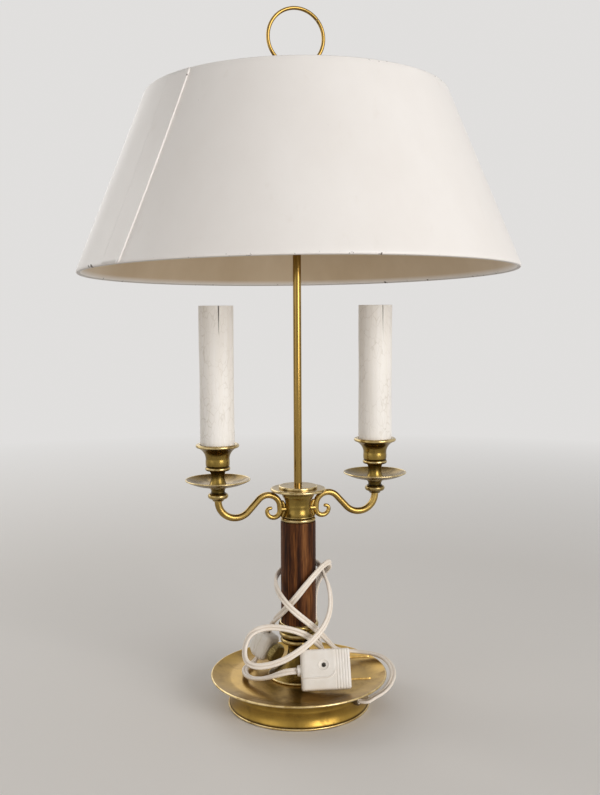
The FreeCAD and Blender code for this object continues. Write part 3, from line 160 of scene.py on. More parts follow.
def softProfile(corners, closed, soft=0.25, longest=1.6, turn=7.0):
    # Lines and arcs through the corners, rounded by a bell-shaped mean and thinned to where the
    # outline bends: one point per so many degrees of turn or millimetres of run.
    # A corner's third number is the bulge of the arc that leaves it.
    # The second result is near +1 on outer edges and near -1 in grooves.
    ends = [np.array(corner[:2], float) for corner in corners]
    bulges = [corner[2] if len(corner) > 2 else 0 for corner in corners]
    after = ends[1:] + ends[:1]
    runs = [arcBetween(a, b, k) for a, b, k in zip(ends, after, bulges)]
    runs = runs + [ends[0][None]] if closed else runs[:-1] + [ends[-1][None]]
    line = evenly(np.concatenate(runs), lineStep)
    if closed:
        line = line[:-1]
    line = bell(line, soft / lineStep, closed)
    ring = np.concatenate([line[-1:], line, line[:1]]) if closed else np.concatenate(
        [2 * line[:1] - line[1:2], line, 2 * line[-1:] - line[-2:-1]])
    heading = np.unwrap(np.arctan2(*np.diff(ring, axis=0).T[::-1]))
    bend = np.diff(heading)
    run = steps(ring)[1:]
    curving = (bend / np.maximum(run, 1e-6))[:, None]
    edge = np.tanh(bell(curving, 0.5 / lineStep, closed)[:, 0] * 1.2)
    cost = np.abs(bend) / math.radians(turn) + run / longest
    total = np.r_[0, np.cumsum(cost)]
    count = max(8, int(total[-1]) + 1)
    if closed:
        line, edge = np.concatenate([line, line[:1]]), np.r_[edge, edge[0]]
    else:
        total = total[:-1]
    wanted = np.linspace(0, total[-1], count, endpoint=not closed)
    radius, height, wear = (np.interp(wanted, total, column) for column in (*line.T, edge))
    return np.stack([radius, height], axis=1), wear


def gridFaces(rows, columns, closedRows, closedColumns):
    # Quads between neighbours of a grid of points, which look along column way x row way.
    i, j = np.meshgrid(
        np.arange(rows if closedRows else rows - 1),
        np.arange(columns if closedColumns else columns - 1), indexing="ij")
    nextRow, nextColumn = (i + 1) % rows, (j + 1) % columns
    corners = [i * columns + j, i * columns + nextColumn,
               nextRow * columns + nextColumn, nextRow * columns + j]
    return np.stack(corners, axis=-1).reshape(-1, 4)


def meshPoints(mesh):
    # The mesh's points in metres, one row each.
    points = np.empty(len(mesh.vertices) * 3)
    mesh.vertices.foreach_get("co", points)
    return points.reshape(-1, 3)


def movePoints(mesh, points):
    # Puts the mesh's points at these places, in metres.
    mesh.vertices.foreach_set("co", points.ravel())
    mesh.update()


def markPoints(mesh, name, values):
    # Keeps one number at each point, for the finish to read.
    data = mesh.attributes.new(name, "FLOAT", "POINT").data
    data.foreach_set("value", np.asarray(values, float).ravel())


def gridMesh(name, grid, closedRows, closedColumns, poles=(None, None), wear=None):
    # A surface through a rows x columns grid of points; a pole closes its first or last row.
    rows, columns = grid.shape[:2]
    points = grid.reshape(-1, 3)
    faces = gridFaces(rows, columns, closedRows, closedColumns).tolist()
    here = np.arange(columns)
    there = (here + 1) % columns
    last = (rows - 1) * columns
    for pole, first, second in ((poles[0], there, here), (poles[1], here + last, there + last)):
        if pole is not None:
            tip = np.full(columns, len(points))
            points = np.concatenate([points, np.array(pole, float)[None]])
            faces += np.stack([tip, first, second], axis=1).tolist()
    mesh = bpy.data.meshes.new(name)
    mesh.from_pydata((points * mm).tolist(), [], faces)
    # The wear-and-shade mark: edge wear on most pieces, and a painted shadow in the sleeves'
    # slits.
    if wear is not None:
        values = np.zeros(len(points))
        values[:rows * columns] = np.broadcast_to(wear, (rows, columns)).ravel()
        markPoints(mesh, "wear", values)
    mesh.update()
    return mesh


def joined(name, meshes, weld=None):
    # Several meshes as one, with doubles merged where a weld distance is given.
    build = bmesh.new()
    for mesh in meshes:
        build.from_mesh(mesh)
        bpy.data.meshes.remove(mesh)
    if weld:
        bmesh.ops.remove_doubles(build, verts=build.verts, dist=weld * mm)
    mesh = bpy.data.meshes.new(name)
    build.to_mesh(mesh)
    build.free()
    return mesh


def addPiece(name, mesh, body, slot, nodes, finish=None):
    # A smooth-shaded object riding on its body in place of its nodes, with its slot's finish
    # unless it has one of its own.
    mesh.polygons.foreach_set("use_smooth", np.ones(len(mesh.polygons), bool))
    mesh.materials.append(finishes[finish or slot])
    piece = linked(name, mesh)
    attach(piece, body)
    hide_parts(*nodes)
    return piece


def turnedMesh(name, shape):
    # The profile carried round its upright axis: x = r cos a, y = r sin a.
    closed = shape.get("closed", True)
    settings = {key: shape[key] for key in ("soft", "longest") if key in shape}
    line, wear = softProfile(shape["corners"], closed, **settings)
    centre = shape.get("centre", (0, 0))
    onAxis = 0.05
    poles = [None, None]
    if not closed:
        for at, row in ((0, 0), (1, -1)):
            if line[row, 0] < onAxis:
                poles[at] = (*centre, line[row, 1])
        keep = line[:, 0] >= onAxis
        line, wear = line[keep], wear[keep]
    grid = aroundAxis(line[:, :1], allRound(shape["segments"]), line[:, 1:], centre)
    return gridMesh(name, grid, closed, True, poles, wear[:, None])


def carriedFrames(path, start):
    # Directions across a path, turned as little as possible from point to point.
    ahead = unit(np.gradient(path, axis=0))
    across = np.empty_like(path)
    last = np.array(start, float)
    for at, way in enumerate(ahead):
        last = last - way * last.dot(way)
        last = last / np.linalg.norm(last)
        across[at] = last
    return ahead, across, np.cross(ahead, across)


def tubeMesh(name, path, radii, start=(0, 1, 0), sides=28, rounded=0.0):
    # A round section of changing radius carried along a path, its ends drawn in to a pole.
    ahead, across, beside = carriedFrames(path, start)
    angle = allRound(sides)[:, None]
    radii = np.broadcast_to(radii, len(path)).astype(float)
    rings = path[:, None] + radii[:, None, None] * (
        across[:, None] * np.cos(angle) + beside[:, None] * np.sin(angle))
    if rounded:
        quarter = np.linspace(0.15, 1, 6)[:, None, None] * math.pi / 2
        first = (rings[0] - path[0]) * np.cos(quarter[::-1]) + path[0] \
            - ahead[0] * rounded * np.sin(quarter[::-1])
        last = (rings[-1] - path[-1]) * np.cos(quarter) + path[-1] \
            + ahead[-1] * rounded * np.sin(quarter)
        rings = np.concatenate([first[1:], rings, last[:-1]])
    poles = (path[0] - ahead[0] * rounded, path[-1] + ahead[-1] * rounded)
    return gridMesh(name, rings, False, True, poles)


def boxMesh(name, half, rounding, places, press):
    # Six grids on a box, each point pushed out to the box with rounded edges: the nearest point
    # of the inner box plus the rounding along the way there. press then moves the points.
    half = np.array(half, float)
    inner = half - rounding
    sides = []
    for axis in range(3):
        first, second = (axis + 1) % 3, (axis + 2) % 3
        for sign in (-1, 1):
            a, b = np.meshgrid(places[first], places[second], indexing="ij")
            grid = np.empty(a.shape + (3,))
            grid[..., first], grid[..., second] = a, b
            grid[..., axis] = sign * half[axis]
            core = np.clip(grid, -inner, inner)
            grid = core + unit(grid - core) * rounding
            sides.append(gridMesh(name, grid[:, ::-1] if sign < 0 else grid, False, False))
    mesh = joined(name, sides, 0.002)
    movePoints(mesh, press(meshPoints(mesh) / mm) * mm)
    build = bmesh.new()
    build.from_mesh(mesh)
    bmesh.ops.recalc_face_normals(build, faces=build.faces)
    build.to_mesh(mesh)
    build.free()
    return mesh


def edged(half, rounding, step):
    # Places along one axis of a box, close together where its edges are round.
    corner = half - rounding * (1 - np.sin(np.linspace(0, math.pi / 2, 6)))
    middle = np.linspace(rounding - half, half - rounding, max(3, int(2 * half / step)))
    return np.unique(np.round(np.r_[-corner, middle, corner], 4))


def crowded(half, rounding, step, fine):
    # The same, and close together along a finely shaped stretch too.
    return np.unique(np.round(np.r_[edged(half, rounding, step), np.arange(*fine)], 4))


def posedMesh(mesh, sizes):
    # Puts a mesh made about the origin where its three own axes and its middle are.
    movePoints(mesh, meshPoints(mesh) @ np.array(sizes["axes"]) + np.array(sizes["centre"]) * mm)
    return mesh


class Wire:
    # A node's output that arithmetic can be written with.
    def __init__(self, finish, socket):
        self.finish = finish
        self.socket = socket

    def math(self, operation, *values):
        return self.finish.node("ShaderNodeMath", {"operation": operation},
                                dict(enumerate(values)))

    def __add__(self, other):
        return self.math("ADD", self, other)

    def __sub__(self, other):
        return self.math("SUBTRACT", self, other)

    def __rsub__(self, other):
        return self.math("SUBTRACT", other, self)

    def __mul__(self, other):
        return self.math("MULTIPLY", self, other)

    def __truediv__(self, other):
        return self.math("DIVIDE", self, other)

    def __pow__(self, other):
        return self.math("POWER", self, other)

    __radd__ = __add__
    __rmul__ = __mul__

    def within(self):
        # Held between 0 and 1.
        return self.math("MINIMUM", self.math("MAXIMUM", self, 0.0), 1.0)

    def above(self, edge, soft):
        # 0 below the edge, 1 above it, sloping over the soft width.
        return ((self - edge) / soft + 0.5).within()


class Wiring:
    # One node tree; every node comes from its node method.
    def __init__(self, tree):
        self.tree = tree

    def found(self, kind):
        return next(n for n in self.tree.nodes if n.type == kind)

    def feed(self, socket, value):
        # Links a wire to the socket, or writes the value there.
        if isinstance(value, Wire):
            self.tree.links.new(value.socket, socket)
        else:
            socket.default_value = value

    def node(self, kind, settings, values, output=0):
        made = self.tree.nodes.new(kind)
        for setting, value in settings.items():
            if setting == "stops":
                stops = made.color_ramp.elements
                while len(stops) < len(value):
                    stops.new(0.5)
                for stop, (at, colour) in zip(stops, value):
                    stop.position = at
                    stop.color = colour
            else:
                setattr(made, setting, value)
        for socket, value in values.items():
            self.feed(made.inputs[socket], value)
        return Wire(self, made.outputs[output])

    def seen(self):
        # 1 for what the camera sees itself, in a mirror or through glass.
        rays = self.node("ShaderNodeLightPath", {}, {}, "Is Camera Ray")
        others = rays.socket.node.outputs
        return (rays + Wire(self, others["Is Glossy Ray"])
                + Wire(self, others["Is Transmission Ray"])).within()


class Finish(Wiring):
    # A material with one Principled shader.
    def __init__(self, name, **fixed):
        self.material = bpy.data.materials.new(name)
        self.material.use_nodes = True
        super().__init__(self.material.node_tree)
        self.shader = self.found("BSDF_PRINCIPLED")
        for socket, value in fixed.items():
            self.set(socket.replace("_", " "), value)
        self.place = self.node("ShaderNodeTexCoord", {}, {}, "Object")

    def set(self, socket, value):
        self.feed(self.shader.inputs[socket], value)

    def noise(self, scale, detail, stretch, rough, shift=(0, 0, 0)):
        # Clouds of 1 / scale metres, longer where the stretch is small.
        spot = self.node("ShaderNodeMapping", {}, {
            "Vector": self.place, "Scale": stretch, "Location": shift})
        return self.node("ShaderNodeTexNoise", {}, {
            "Vector": spot, "Scale": scale, "Detail": detail, "Roughness": rough}, "Fac")

    def axes(self):
        # The three Object coordinates, a wire each.
        parts = self.node("ShaderNodeSeparateXYZ", {}, {"Vector": self.place})
        outputs = parts.socket.node.outputs
        return [Wire(self, outputs[at]) for at in range(3)]

    def near(self, spot, size, ragged):
        # 1 within a size of the spot, given in millimetres, with a ragged edge.
        gap = self.node("ShaderNodeVectorMath", {"operation": "DISTANCE"}, {
            0: self.place, 1: [v * mm for v in spot]}, "Value")
        return 1 - (gap / (size * mm) + ragged * 1.2).above(1.5, 0.25)

    def cracks(self, scale, stretch):
        # Distance to the nearest edge between cells, 0 on the edge.
        spot = self.node("ShaderNodeMapping", {}, {"Vector": self.place, "Scale": stretch})
        bent = self.node("ShaderNodeTexNoise", {}, {"Vector": spot, "Scale": scale * 0.8}, "Color")
        moved = self.node("ShaderNodeVectorMath", {"operation": "MULTIPLY_ADD"}, {
            0: bent, 1: (0.9 / scale,) * 3, 2: spot})
        return self.node("ShaderNodeTexVoronoi", {"feature": "DISTANCE_TO_EDGE"}, {
            "Vector": moved, "Scale": scale}, "Distance")

    def mark(self, name="wear"):
        # The number that each point carries under this name.
        return self.node("ShaderNodeAttribute", {"attribute_name": name}, {}, "Fac")

    def mix(self, share, first, second):
        # From the first colour to the second; each is a wire or a written code.
        first, second = (hexColour(c) if isinstance(c, str) else c for c in (first, second))
        return self.node("ShaderNodeMix", {"data_type": "RGBA"}, {
            0: share, 6: first, 7: second}, 2)

    def bump(self, height, depth, strength):
        # Relief of this depth in millimetres.
        self.set("Normal", self.node("ShaderNodeBump", {}, {
            "Height": height, "Distance": depth * mm, "Strength": strength}))


def hexColour(code):
    # A written colour in linear light.
    parts = np.array([int(code[at:at + 2], 16) for at in (1, 3, 5)]) / 255
    linear = np.where(parts <= 0.04045, parts / 12.92, ((parts + 0.055) / 1.055) ** 2.4)
    return (*linear.tolist(), 1.0)


brassTones = {
    "bright": "#ab8f4c",
    "aged": "#826c35",
    "patina": "#4d3e1c",
    "grime": "#1d160b",
    "polish": "#eed9a6",
}


def agedBrass(name, dull, shift=(0, 0, 0), rings=True, stretch=(1, 1, 1), satin=0.17, **tones):
    # Brass with cloudy patina, dark grooves and rubbed edges; a lathe leaves fine rings.
    tones = brassTones | tones
    finish = Finish(name, Metallic=1.0)
    cloud = finish.noise(34, 5, stretch, 0.6, shift)
    blotch = finish.noise(120, 4, stretch, 0.65, shift)
    marks = finish.noise(1.0, 2, (18, 18, 420) if rings else (700, 700, 22), 0.5, shift)
    wear = finish.mark()
    aged = finish.mix(cloud.above(0.5, 0.4), tones["bright"], tones["aged"])
    patch = (cloud * 0.6 + blotch * 0.4).above(0.62 - 0.12 * dull, 0.12) * (0.2 + 0.6 * dull)
    colour = finish.mix(patch.within(), aged, tones["patina"])
    speck = finish.noise(900, 3, (1, 1, 1), 0.6, shift).above(0.68, 0.04) * (0.25 + 0.5 * dull)
    colour = finish.mix(speck, colour, tones["grime"])
    groove = (wear * -1.0).above(0.30, 0.5) * 0.85
    colour = finish.mix(groove, colour, tones["grime"])
    rubbed = wear.above(0.55, 0.5) * blotch.above(0.40, 0.3) * 0.8
    finish.set("Base Color", finish.mix(rubbed, colour, tones["polish"]))
    finish.set("Roughness", satin + patch * 0.26 + marks * 0.08 + groove * 0.25)
    finish.bump(marks * 0.5 + blotch * 0.5, 0.05, 0.45)
    return finish.material


def lacqueredWood(name):
    # Dark polished wood: upright ribbons of grain, darker and paler by turns, with open pores.
    finish = Finish(name, Coat_Weight=0.05, Coat_Roughness=0.25, Roughness=0.5,
                    Specular_IOR_Level=0.1)
    broad = finish.noise(1.0, 4, (95, 95, 9), 0.6)
    fine = finish.noise(1.0, 6, (620, 620, 24), 0.7)
    pore = finish.noise(1.0, 2, (1900, 1900, 60), 0.5)
    tone = (broad * 0.55 + fine * 0.45).within()
    colour = finish.node("ShaderNodeValToRGB", {"stops": [
        (0.38, hexColour("#1d0d05")), (0.46, hexColour("#3d2010")),
        (0.54, hexColour("#663c1d")), (0.64, hexColour("#8a5a30"))]}, {"Fac": tone}, "Color")
    pores = pore.above(0.60, 0.07) * 0.6
    finish.set("Base Color", finish.mix(pores, colour, "#090402"))
    finish.bump(fine * 0.6 - pores * 0.6, 0.06, 0.6)
    return finish.material


# Each chip's middle and size.
shadeChips = (
    ((-68.1, -182.9, 393.6), 1.7), ((24.8, -193.9, 393.8), 1.7), ((-86.3, -174.8, 393.8), 0.9),
    ((-182.6, -61.5, 389.2), 3.4), ((-178.0, -66.0, 389.8), 2.2), ((-105.2, -82.5, 532.7), 0.8),
)


def shadeLacquer(name):
    # Old white lacquer on sheet metal: faint stains, chipped at the hem. The inside is a darker
    # warm beige, painted shade and painted warm reflection, and a thin shadow is painted under the
    # lower hem.
    # The point marks say how far a point is inside the shade, how high up its slope and where that
    # shadow lies.
    finish = Finish(name, Coat_Weight=0.12, Coat_Roughness=0.3)
    inside, rise = finish.mark("inside"), finish.mark("rise")
    cloud = finish.noise(16, 4, (1, 1, 0.45), 0.6)
    stain = finish.noise(60, 5, (1, 1, 0.3), 0.65)
    speck = finish.noise(420, 3, (1, 1, 1), 0.6)
    outside = finish.mix(cloud.above(0.5, 0.5), "#f4f0ec", "#eee9e4")
    outside = finish.mix(stain.above(0.70, 0.16) * 0.22, outside, "#d3c8ba")
    # Inside: a darker warm beige over white lacquer, painted shade and painted warm reflection.
    paintedShadeInside = finish.mix(cloud.above(0.5, 0.5), "#dac7ab", "#c8b292")
    colour = finish.mix(inside, outside, paintedShadeInside)
    hem = (1 - rise.above(0.010, 0.010)) + rise.above(0.990, 0.008)
    chips = (speck * 0.55 + stain * 0.45).above(0.625, 0.025) * hem.within()
    chipsAndHemShadow = chips + speck.above(0.80, 0.03) * 0.6
    for spot, size in shadeChips:
        chipsAndHemShadow = chipsAndHemShadow + finish.near(spot, size, speck)
    # Chips and specks are bare metal; the hem mark adds a painted shadow under the lower hem's
    # roll in the same dark colour.
    chipsAndHemShadow = (chipsAndHemShadow + finish.mark("worn") * 0.4).within()
    finish.set("Base Color", finish.mix(chipsAndHemShadow, colour, "#4a3d30"))
    finish.set("Roughness", 0.34 + stain * 0.16 + chipsAndHemShadow * 0.2)
    finish.bump(cloud * 0.6 + speck * 0.05 - chipsAndHemShadow * 0.3, 0.2, 0.3)
    return finish.material


def candleWhite(name):
    # Chalky white sleeve with upright streaks and a net of fine cracks; its slit is painted
    # near-black, a painted shadow.
    finish = Finish(name, Coat_Weight=0.1, Coat_Roughness=0.4)
    streak = finish.noise(1.0, 5, (240, 240, 9), 0.65)
    patch = finish.noise(70, 4, (1, 1, 0.5), 0.6)
    net = 1 - finish.cracks(150, (1.6, 1.6, 0.7)).above(0.035, 0.05)
    wear = finish.mark()
    colour = finish.mix(streak.above(0.5, 0.5), "#f7f4f0", "#ede8e0")
    lines = net * patch.above(0.52, 0.2) * 0.3 + streak.above(0.71, 0.05) * 0.22
    colour = finish.mix(lines.within(), colour, "#b0a48f")
    # dark: the slit's marked columns, painted near-black as the shadow inside the slit
    dark = (wear * -1.0).above(0.6, 0.3)
    finish.set("Base Color", finish.mix(dark, colour, "#1c1712"))
    finish.set("Roughness", 0.46 + streak * 0.2)
    finish.bump(streak * 0.5 + patch * 0.6 - net * 0.5, 0.18, 0.6)
    return finish.material


def paintedPlastic(name, base, shadow, gloss=0.34, dirt="#8d7f6c"):
    # Moulded plastic, yellowed in clouds, flecked with dust and darker in its low places.
    finish = Finish(name)
    cloud = finish.noise(90, 4, (1, 1, 1), 0.6)
    dust = finish.noise(700, 4, (1, 1, 1), 0.7)
    wear = finish.mark()
    colour = finish.mix(cloud.above(0.5, 0.5), base, shadow)
    # Low places, such as the hollow between the flex's cores, are mixed towards the darker tone.
    low = ((wear * -1.0).above(0.4, 0.5) * 0.7 + dust.above(0.72, 0.06) * 0.35).within()
    finish.set("Base Color", finish.mix(low, colour, dirt))
    finish.set("Roughness", gloss + cloud * 0.14 + low * 0.15)
    finish.bump(dust * 0.4 + cloud, 0.05, 0.5)
    return finish.material


def darkMetal(name, base, spots, rough, scale, metallic=1.0):
    # Plain bar or cast metal with oxide spots.
    finish = Finish(name, Metallic=metallic)
    cloud = finish.noise(scale, 5, (1, 1, 1), 0.65)
    fine = finish.noise(scale * 6, 3, (1, 1, 1), 0.6)
    finish.set("Base Color", finish.mix(cloud.above(0.55, 0.2), base, spots))
    finish.set("Roughness", rough + cloud * 0.2)
    finish.bump(fine * 0.5 + cloud * 0.5, 0.08, 0.6)
    return finish.material


def woolFelt(name):
    # Pressed green felt: short crossed fibres and lint.
    finish = Finish(name, Roughness=0.95, Sheen_Weight=0.4)
    fibre = finish.noise(1.0, 4, (2600, 900, 900), 0.7)
    cross = finish.noise(1.0, 4, (900, 2600, 900), 0.7)
    mat = fibre * 0.5 + cross * 0.5
    finish.set("Base Color", finish.mix(mat.above(0.5, 0.3), "#1f3a26", "#3c5f43"))
    finish.bump(mat, 0.25, 0.8)
    return finish.material


def bareBrass(name, base="#d1b06a", spot="#a3813f", rough=0.26, scale=240):
    # Drawn or stamped brass, lightly tarnished.
    finish = Finish(name, Metallic=1.0)
    cloud = finish.noise(scale, 4, (1, 1, 1), 0.6)
    scratch = finish.noise(1.0, 3, (300, 1800, 1800), 0.6)
    finish.set("Base Color", finish.mix(cloud.above(0.52, 0.3), base, spot))
    finish.set("Roughness", rough + cloud * 0.2)
    finish.bump(scratch, 0.02, 0.5)
    return finish.material


finishKinds = {
    "patinated_brass": (agedBrass, {"dull": 0.5}),
    # For the base dish: less patina, and lighter, warmer tones as painted light and painted warm
    # reflection.
    "dish_brass": (agedBrass, {
        "dull": 0.35, "shift": (3, 0, 1), "satin": 0.25,
        "bright": "#b39145", "aged": "#8f7133", "patina": "#614b20"}),
    # For the rod and the ring: clean brass with little patina; its slightly darker tone is a
    # painted dark reflection.
    "rod_brass": (agedBrass, {
        "dull": 0.1, "shift": (1, 4, 0), "satin": 0.09, "rings": False, "stretch": (1, 1, 0.2),
        "bright": "#a18346", "aged": "#836a36", "patina": "#6d572d"}),
    # A darker copy of the brass for the drip pans and the pedestal: painted shade and painted dark
    # reflection, with more patina.
    "pan_brass": (agedBrass, {
        "dull": 0.6, "shift": (5, 2, 0), "satin": 0.2,
        "bright": "#8d743a", "aged": "#685429", "patina": "#3f3216"}),
    # A lighter copy of the brass for the arms: a painted highlight, with less patina.
    "arm_brass": (agedBrass, {
        "dull": 0.2, "shift": (0, 2, 4), "satin": 0.24, "rings": False,
        "bright": "#bb9d5b", "aged": "#967b40", "patina": "#5e4b23"}),
    "carrier_brass": (agedBrass, {"dull": 0.4, "shift": (2, 1, 0)}),
    "dark_wood": (lacqueredWood, {}),
    "shade_lacquer": (shadeLacquer, {}),
    "candle_white": (candleWhite, {}),
    "holder_black": (paintedPlastic, {
        "base": "#1b1815", "shadow": "#272320", "gloss": 0.32, "dirt": "#4c463e"}),
    "shell_brass": (bareBrass, {}),
    "steel_tube": (darkMetal, {
        "base": "#8f8e89", "spots": "#6d675c", "rough": 0.34, "scale": 160}),
    "ballast_iron": (darkMetal, {
        "base": "#2d2a28", "spots": "#4a3327", "rough": 0.7, "scale": 130, "metallic": 0.6}),
    "felt_green": (woolFelt, {}),
    "grommet_rubber": (paintedPlastic, {
        "base": "#5d4a2c", "shadow": "#4c3c24", "gloss": 0.6, "dirt": "#7a6a4c"}),
    "flex_white": (paintedPlastic, {
        "base": "#f6ede1", "shadow": "#eee2d3", "gloss": 0.36, "dirt": "#ccb8a2"}),
    "switch_white": (paintedPlastic, {"base": "#f6f2ea", "shadow": "#ece5d9"}),
    "knob_olive": (darkMetal, {
        "base": "#9d8c58", "spots": "#7a6a3d", "rough": 0.36, "scale": 420, "metallic": 0.7}),
    "plug_white": (paintedPlastic, {"base": "#f2ede6", "shadow": "#e9e1d6"}),
    "plug_steel": (darkMetal, {"base": "#4d4943", "spots": "#2b2722", "rough": 0.4, "scale": 500}),
    "blade_brass": (bareBrass, {
        "base": "#dcb872", "spot": "#b68f4a", "rough": 0.24, "scale": 400}),
}


def camelName(words):
    # some_words as someWords.
    first, *rest = words.split("_")
    return first + "".join(word.title() for word in rest)


finishes = {name: make(camelName(name), **settings)
            for name, (make, settings) in finishKinds.items()}

print("finishes made,", len(finishes))


# Routes of the flex: out of the base, round the dish and over the column's loops to the
# switch, and from the switch round the pedestal to the plug.
toSwitch = [
    (0.04221, -0.04943, 0.0164), (0.04676, -0.05475, 0.0164), (0.0529, -0.0530, 0.0191),
    (0.0631, -0.0473, 0.0203), (0.0722, -0.0398, 0.0223), (0.0810, -0.0286, 0.0268),
    (0.0848, -0.0120, 0.0306), (0.0822, 0.0041, 0.0329), (0.0738, 0.0186, 0.0324),
    (0.0602, 0.0272, 0.0323), (0.0452, 0.0185, 0.0377), (0.0341, 0.0038, 0.0463),
    (0.0234, -0.0121, 0.0598), (0.0113, -0.0224, 0.0735), (-0.0008, -0.0251, 0.0845),
    (-0.0118, -0.0244, 0.0942), (-0.0187, -0.0195, 0.1023), (-0.0219, -0.0101, 0.1087),
    (-0.0213, 0.0014, 0.1137), (-0.0156, 0.0148, 0.1171), (-0.0052, 0.0214, 0.1219),
    (0.0057, 0.0212, 0.1259), (0.0148, 0.0159, 0.1271), (0.0206, 0.0041, 0.1260),
    (0.0213, -0.0084, 0.1196), (0.0234, -0.0172, 0.1119), (0.0237, -0.0235, 0.1018),
    (0.0215, -0.0286, 0.0918), (0.0165, -0.0335, 0.0830), (0.0084, -0.0382, 0.0754),
    (-0.0020, -0.0418, 0.0682), (-0.0128, -0.0437, 0.0624), (-0.0237, -0.0430, 0.0565),
    (-0.0360, -0.0410, 0.0526), (-0.0466, -0.0373, 0.0509), (-0.0538, -0.0319, 0.0527),
    (-0.0555, -0.0273, 0.0588), (-0.0540, -0.0246, 0.0671), (-0.0500, -0.0225, 0.0740),
    (-0.0428, -0.0223, 0.0787), (-0.0333, -0.0236, 0.0804), (-0.0230, -0.0257, 0.0797),
    (-0.0133, -0.0281, 0.0778), (-0.0035, -0.0285, 0.0737), (0.0054, -0.0256, 0.0674),
    (0.0141, -0.0170, 0.0582), (0.0218, -0.0044, 0.0480), (0.0260, 0.0089, 0.0410),
    (0.0251, 0.0195, 0.0450), (0.0223, 0.0233, 0.0584), (0.0200, 0.0218, 0.0754),
    (0.0195, 0.0178, 0.0918), (0.0212, 0.0153, 0.1047), (0.0258, 0.0111, 0.1149),
    (0.0303, 0.0017, 0.1236), (0.0271, -0.0078, 0.1310), (0.0184, -0.0155, 0.1295),
    (0.0084, -0.0202, 0.1215), (-0.0001, -0.0211, 0.1125), (-0.0069, -0.0194, 0.1035),
    (-0.0128, -0.0153, 0.0951), (-0.0186, -0.0087, 0.0863), (-0.0210, 0.0027, 0.0783),
    (-0.0191, 0.0136, 0.0732), (-0.0159, 0.0242, 0.0719), (-0.01855, 0.02820, 0.06497),
    (-0.02154, 0.02941, 0.05764),
]
toPlug = [
    (-0.03086, 0.03319, 0.03476), (-0.03310, 0.03409, 0.02927), (-0.0382, 0.0296, 0.0288),
    (-0.0439, 0.0220, 0.0293), (-0.0480, 0.0112, 0.0302), (-0.0488, -0.0005, 0.0299),
    (-0.0459, -0.0112, 0.0307), (-0.0401, -0.0203, 0.0332), (-0.0336, -0.0283, 0.0370),
    (-0.0266, -0.0342, 0.0413), (-0.01884, -0.03647, 0.04390), (-0.01105, -0.03828, 0.04422),
]
flexSizes = {
    "width": 5.7,
    "thick": 2.9,
    "web": 1.05,              # half the thickness between the two cores
    "lean": (33.0, 51.0),     # heights between which the face turns from up to outwards
    "ease": (7.0, 2.5),       # runs over which a twist is spread, first coarse and then fine
    "valley": (-0.75, 0.8),   # how dark and how wide the hollow between the cores is
}


def splinePath(name, points):
    # Points along the smooth line that a NURBS spline draws through the route.
    curve = bpy.data.curves.new(name, "CURVE")
    curve.dimensions = "3D"
    curve.resolution_u = 10
    spline = curve.splines.new("NURBS")
    spline.points.add(len(points) - 1)
    spline.points.foreach_set("co", np.c_[np.array(points), np.ones(len(points))].ravel())
    spline.order_u = 3
    spline.use_endpoint_u = True
    holder = linked(name, curve)
    bpy.context.view_layer.update()
    mesh = bpy.data.meshes.new_from_object(holder)
    path = meshPoints(mesh)
    bpy.data.objects.remove(holder)
    bpy.data.meshes.remove(mesh)
    return path


def twinFlex(name, path, sizes):
    # Two round cores side by side with a thin web: each core is an arc about its own middle, and
    # the flat face looks up near the dish and away from the column higher up.
    core = sizes["thick"] / 2
    offset = sizes["width"] / 2 - core
    bite = math.asin(sizes["web"] / core)
    sweep = np.linspace(-math.pi + bite, math.pi - bite, 15)
    right = np.stack([offset + core * np.cos(sweep), core * np.sin(sweep)], axis=1)
    left = np.stack([-right[:, 0], -right[:, 1]], axis=1)
    section = np.concatenate([right, left])
    points = path / mm
    ahead = unit(np.gradient(points, axis=0))
    low, high = sizes["lean"]
    share = ramp(points[:, 2:] - low, high - low)
    share = share * share * (3 - 2 * share)
    outwards = unit(points * [1, 1, 0])
    face = outwards * share + np.array([0, 0, 1.0]) * (1 - share)
    spacing = steps(points).mean()
    for run in sizes["ease"]:
        face = bell(face, run / spacing, False)
        face = unit(face - ahead * (face * ahead).sum(axis=1, keepdims=True))
    side = np.cross(face, ahead)
    grid = points[:, None] + side[:, None] * section[:, :1] + face[:, None] * section[:, 1:]
    dark, wide = sizes["valley"]
    wear = np.tile(dark * dip(np.abs(section[:, 0]), 0.0, wide), (len(points), 1))
    return gridMesh(name, grid, False, True, (points[0], points[-1]), wear)


for name, route, node in (("flexToSwitch", toSwitch, "cord_to_switch"),
                          ("flexToPlug", toPlug, "cord_to_plug")):
    path = splinePath(name, route)
    piece = addPiece(name, twinFlex(name, path, flexSizes), "lamp", "flex_white", [node])


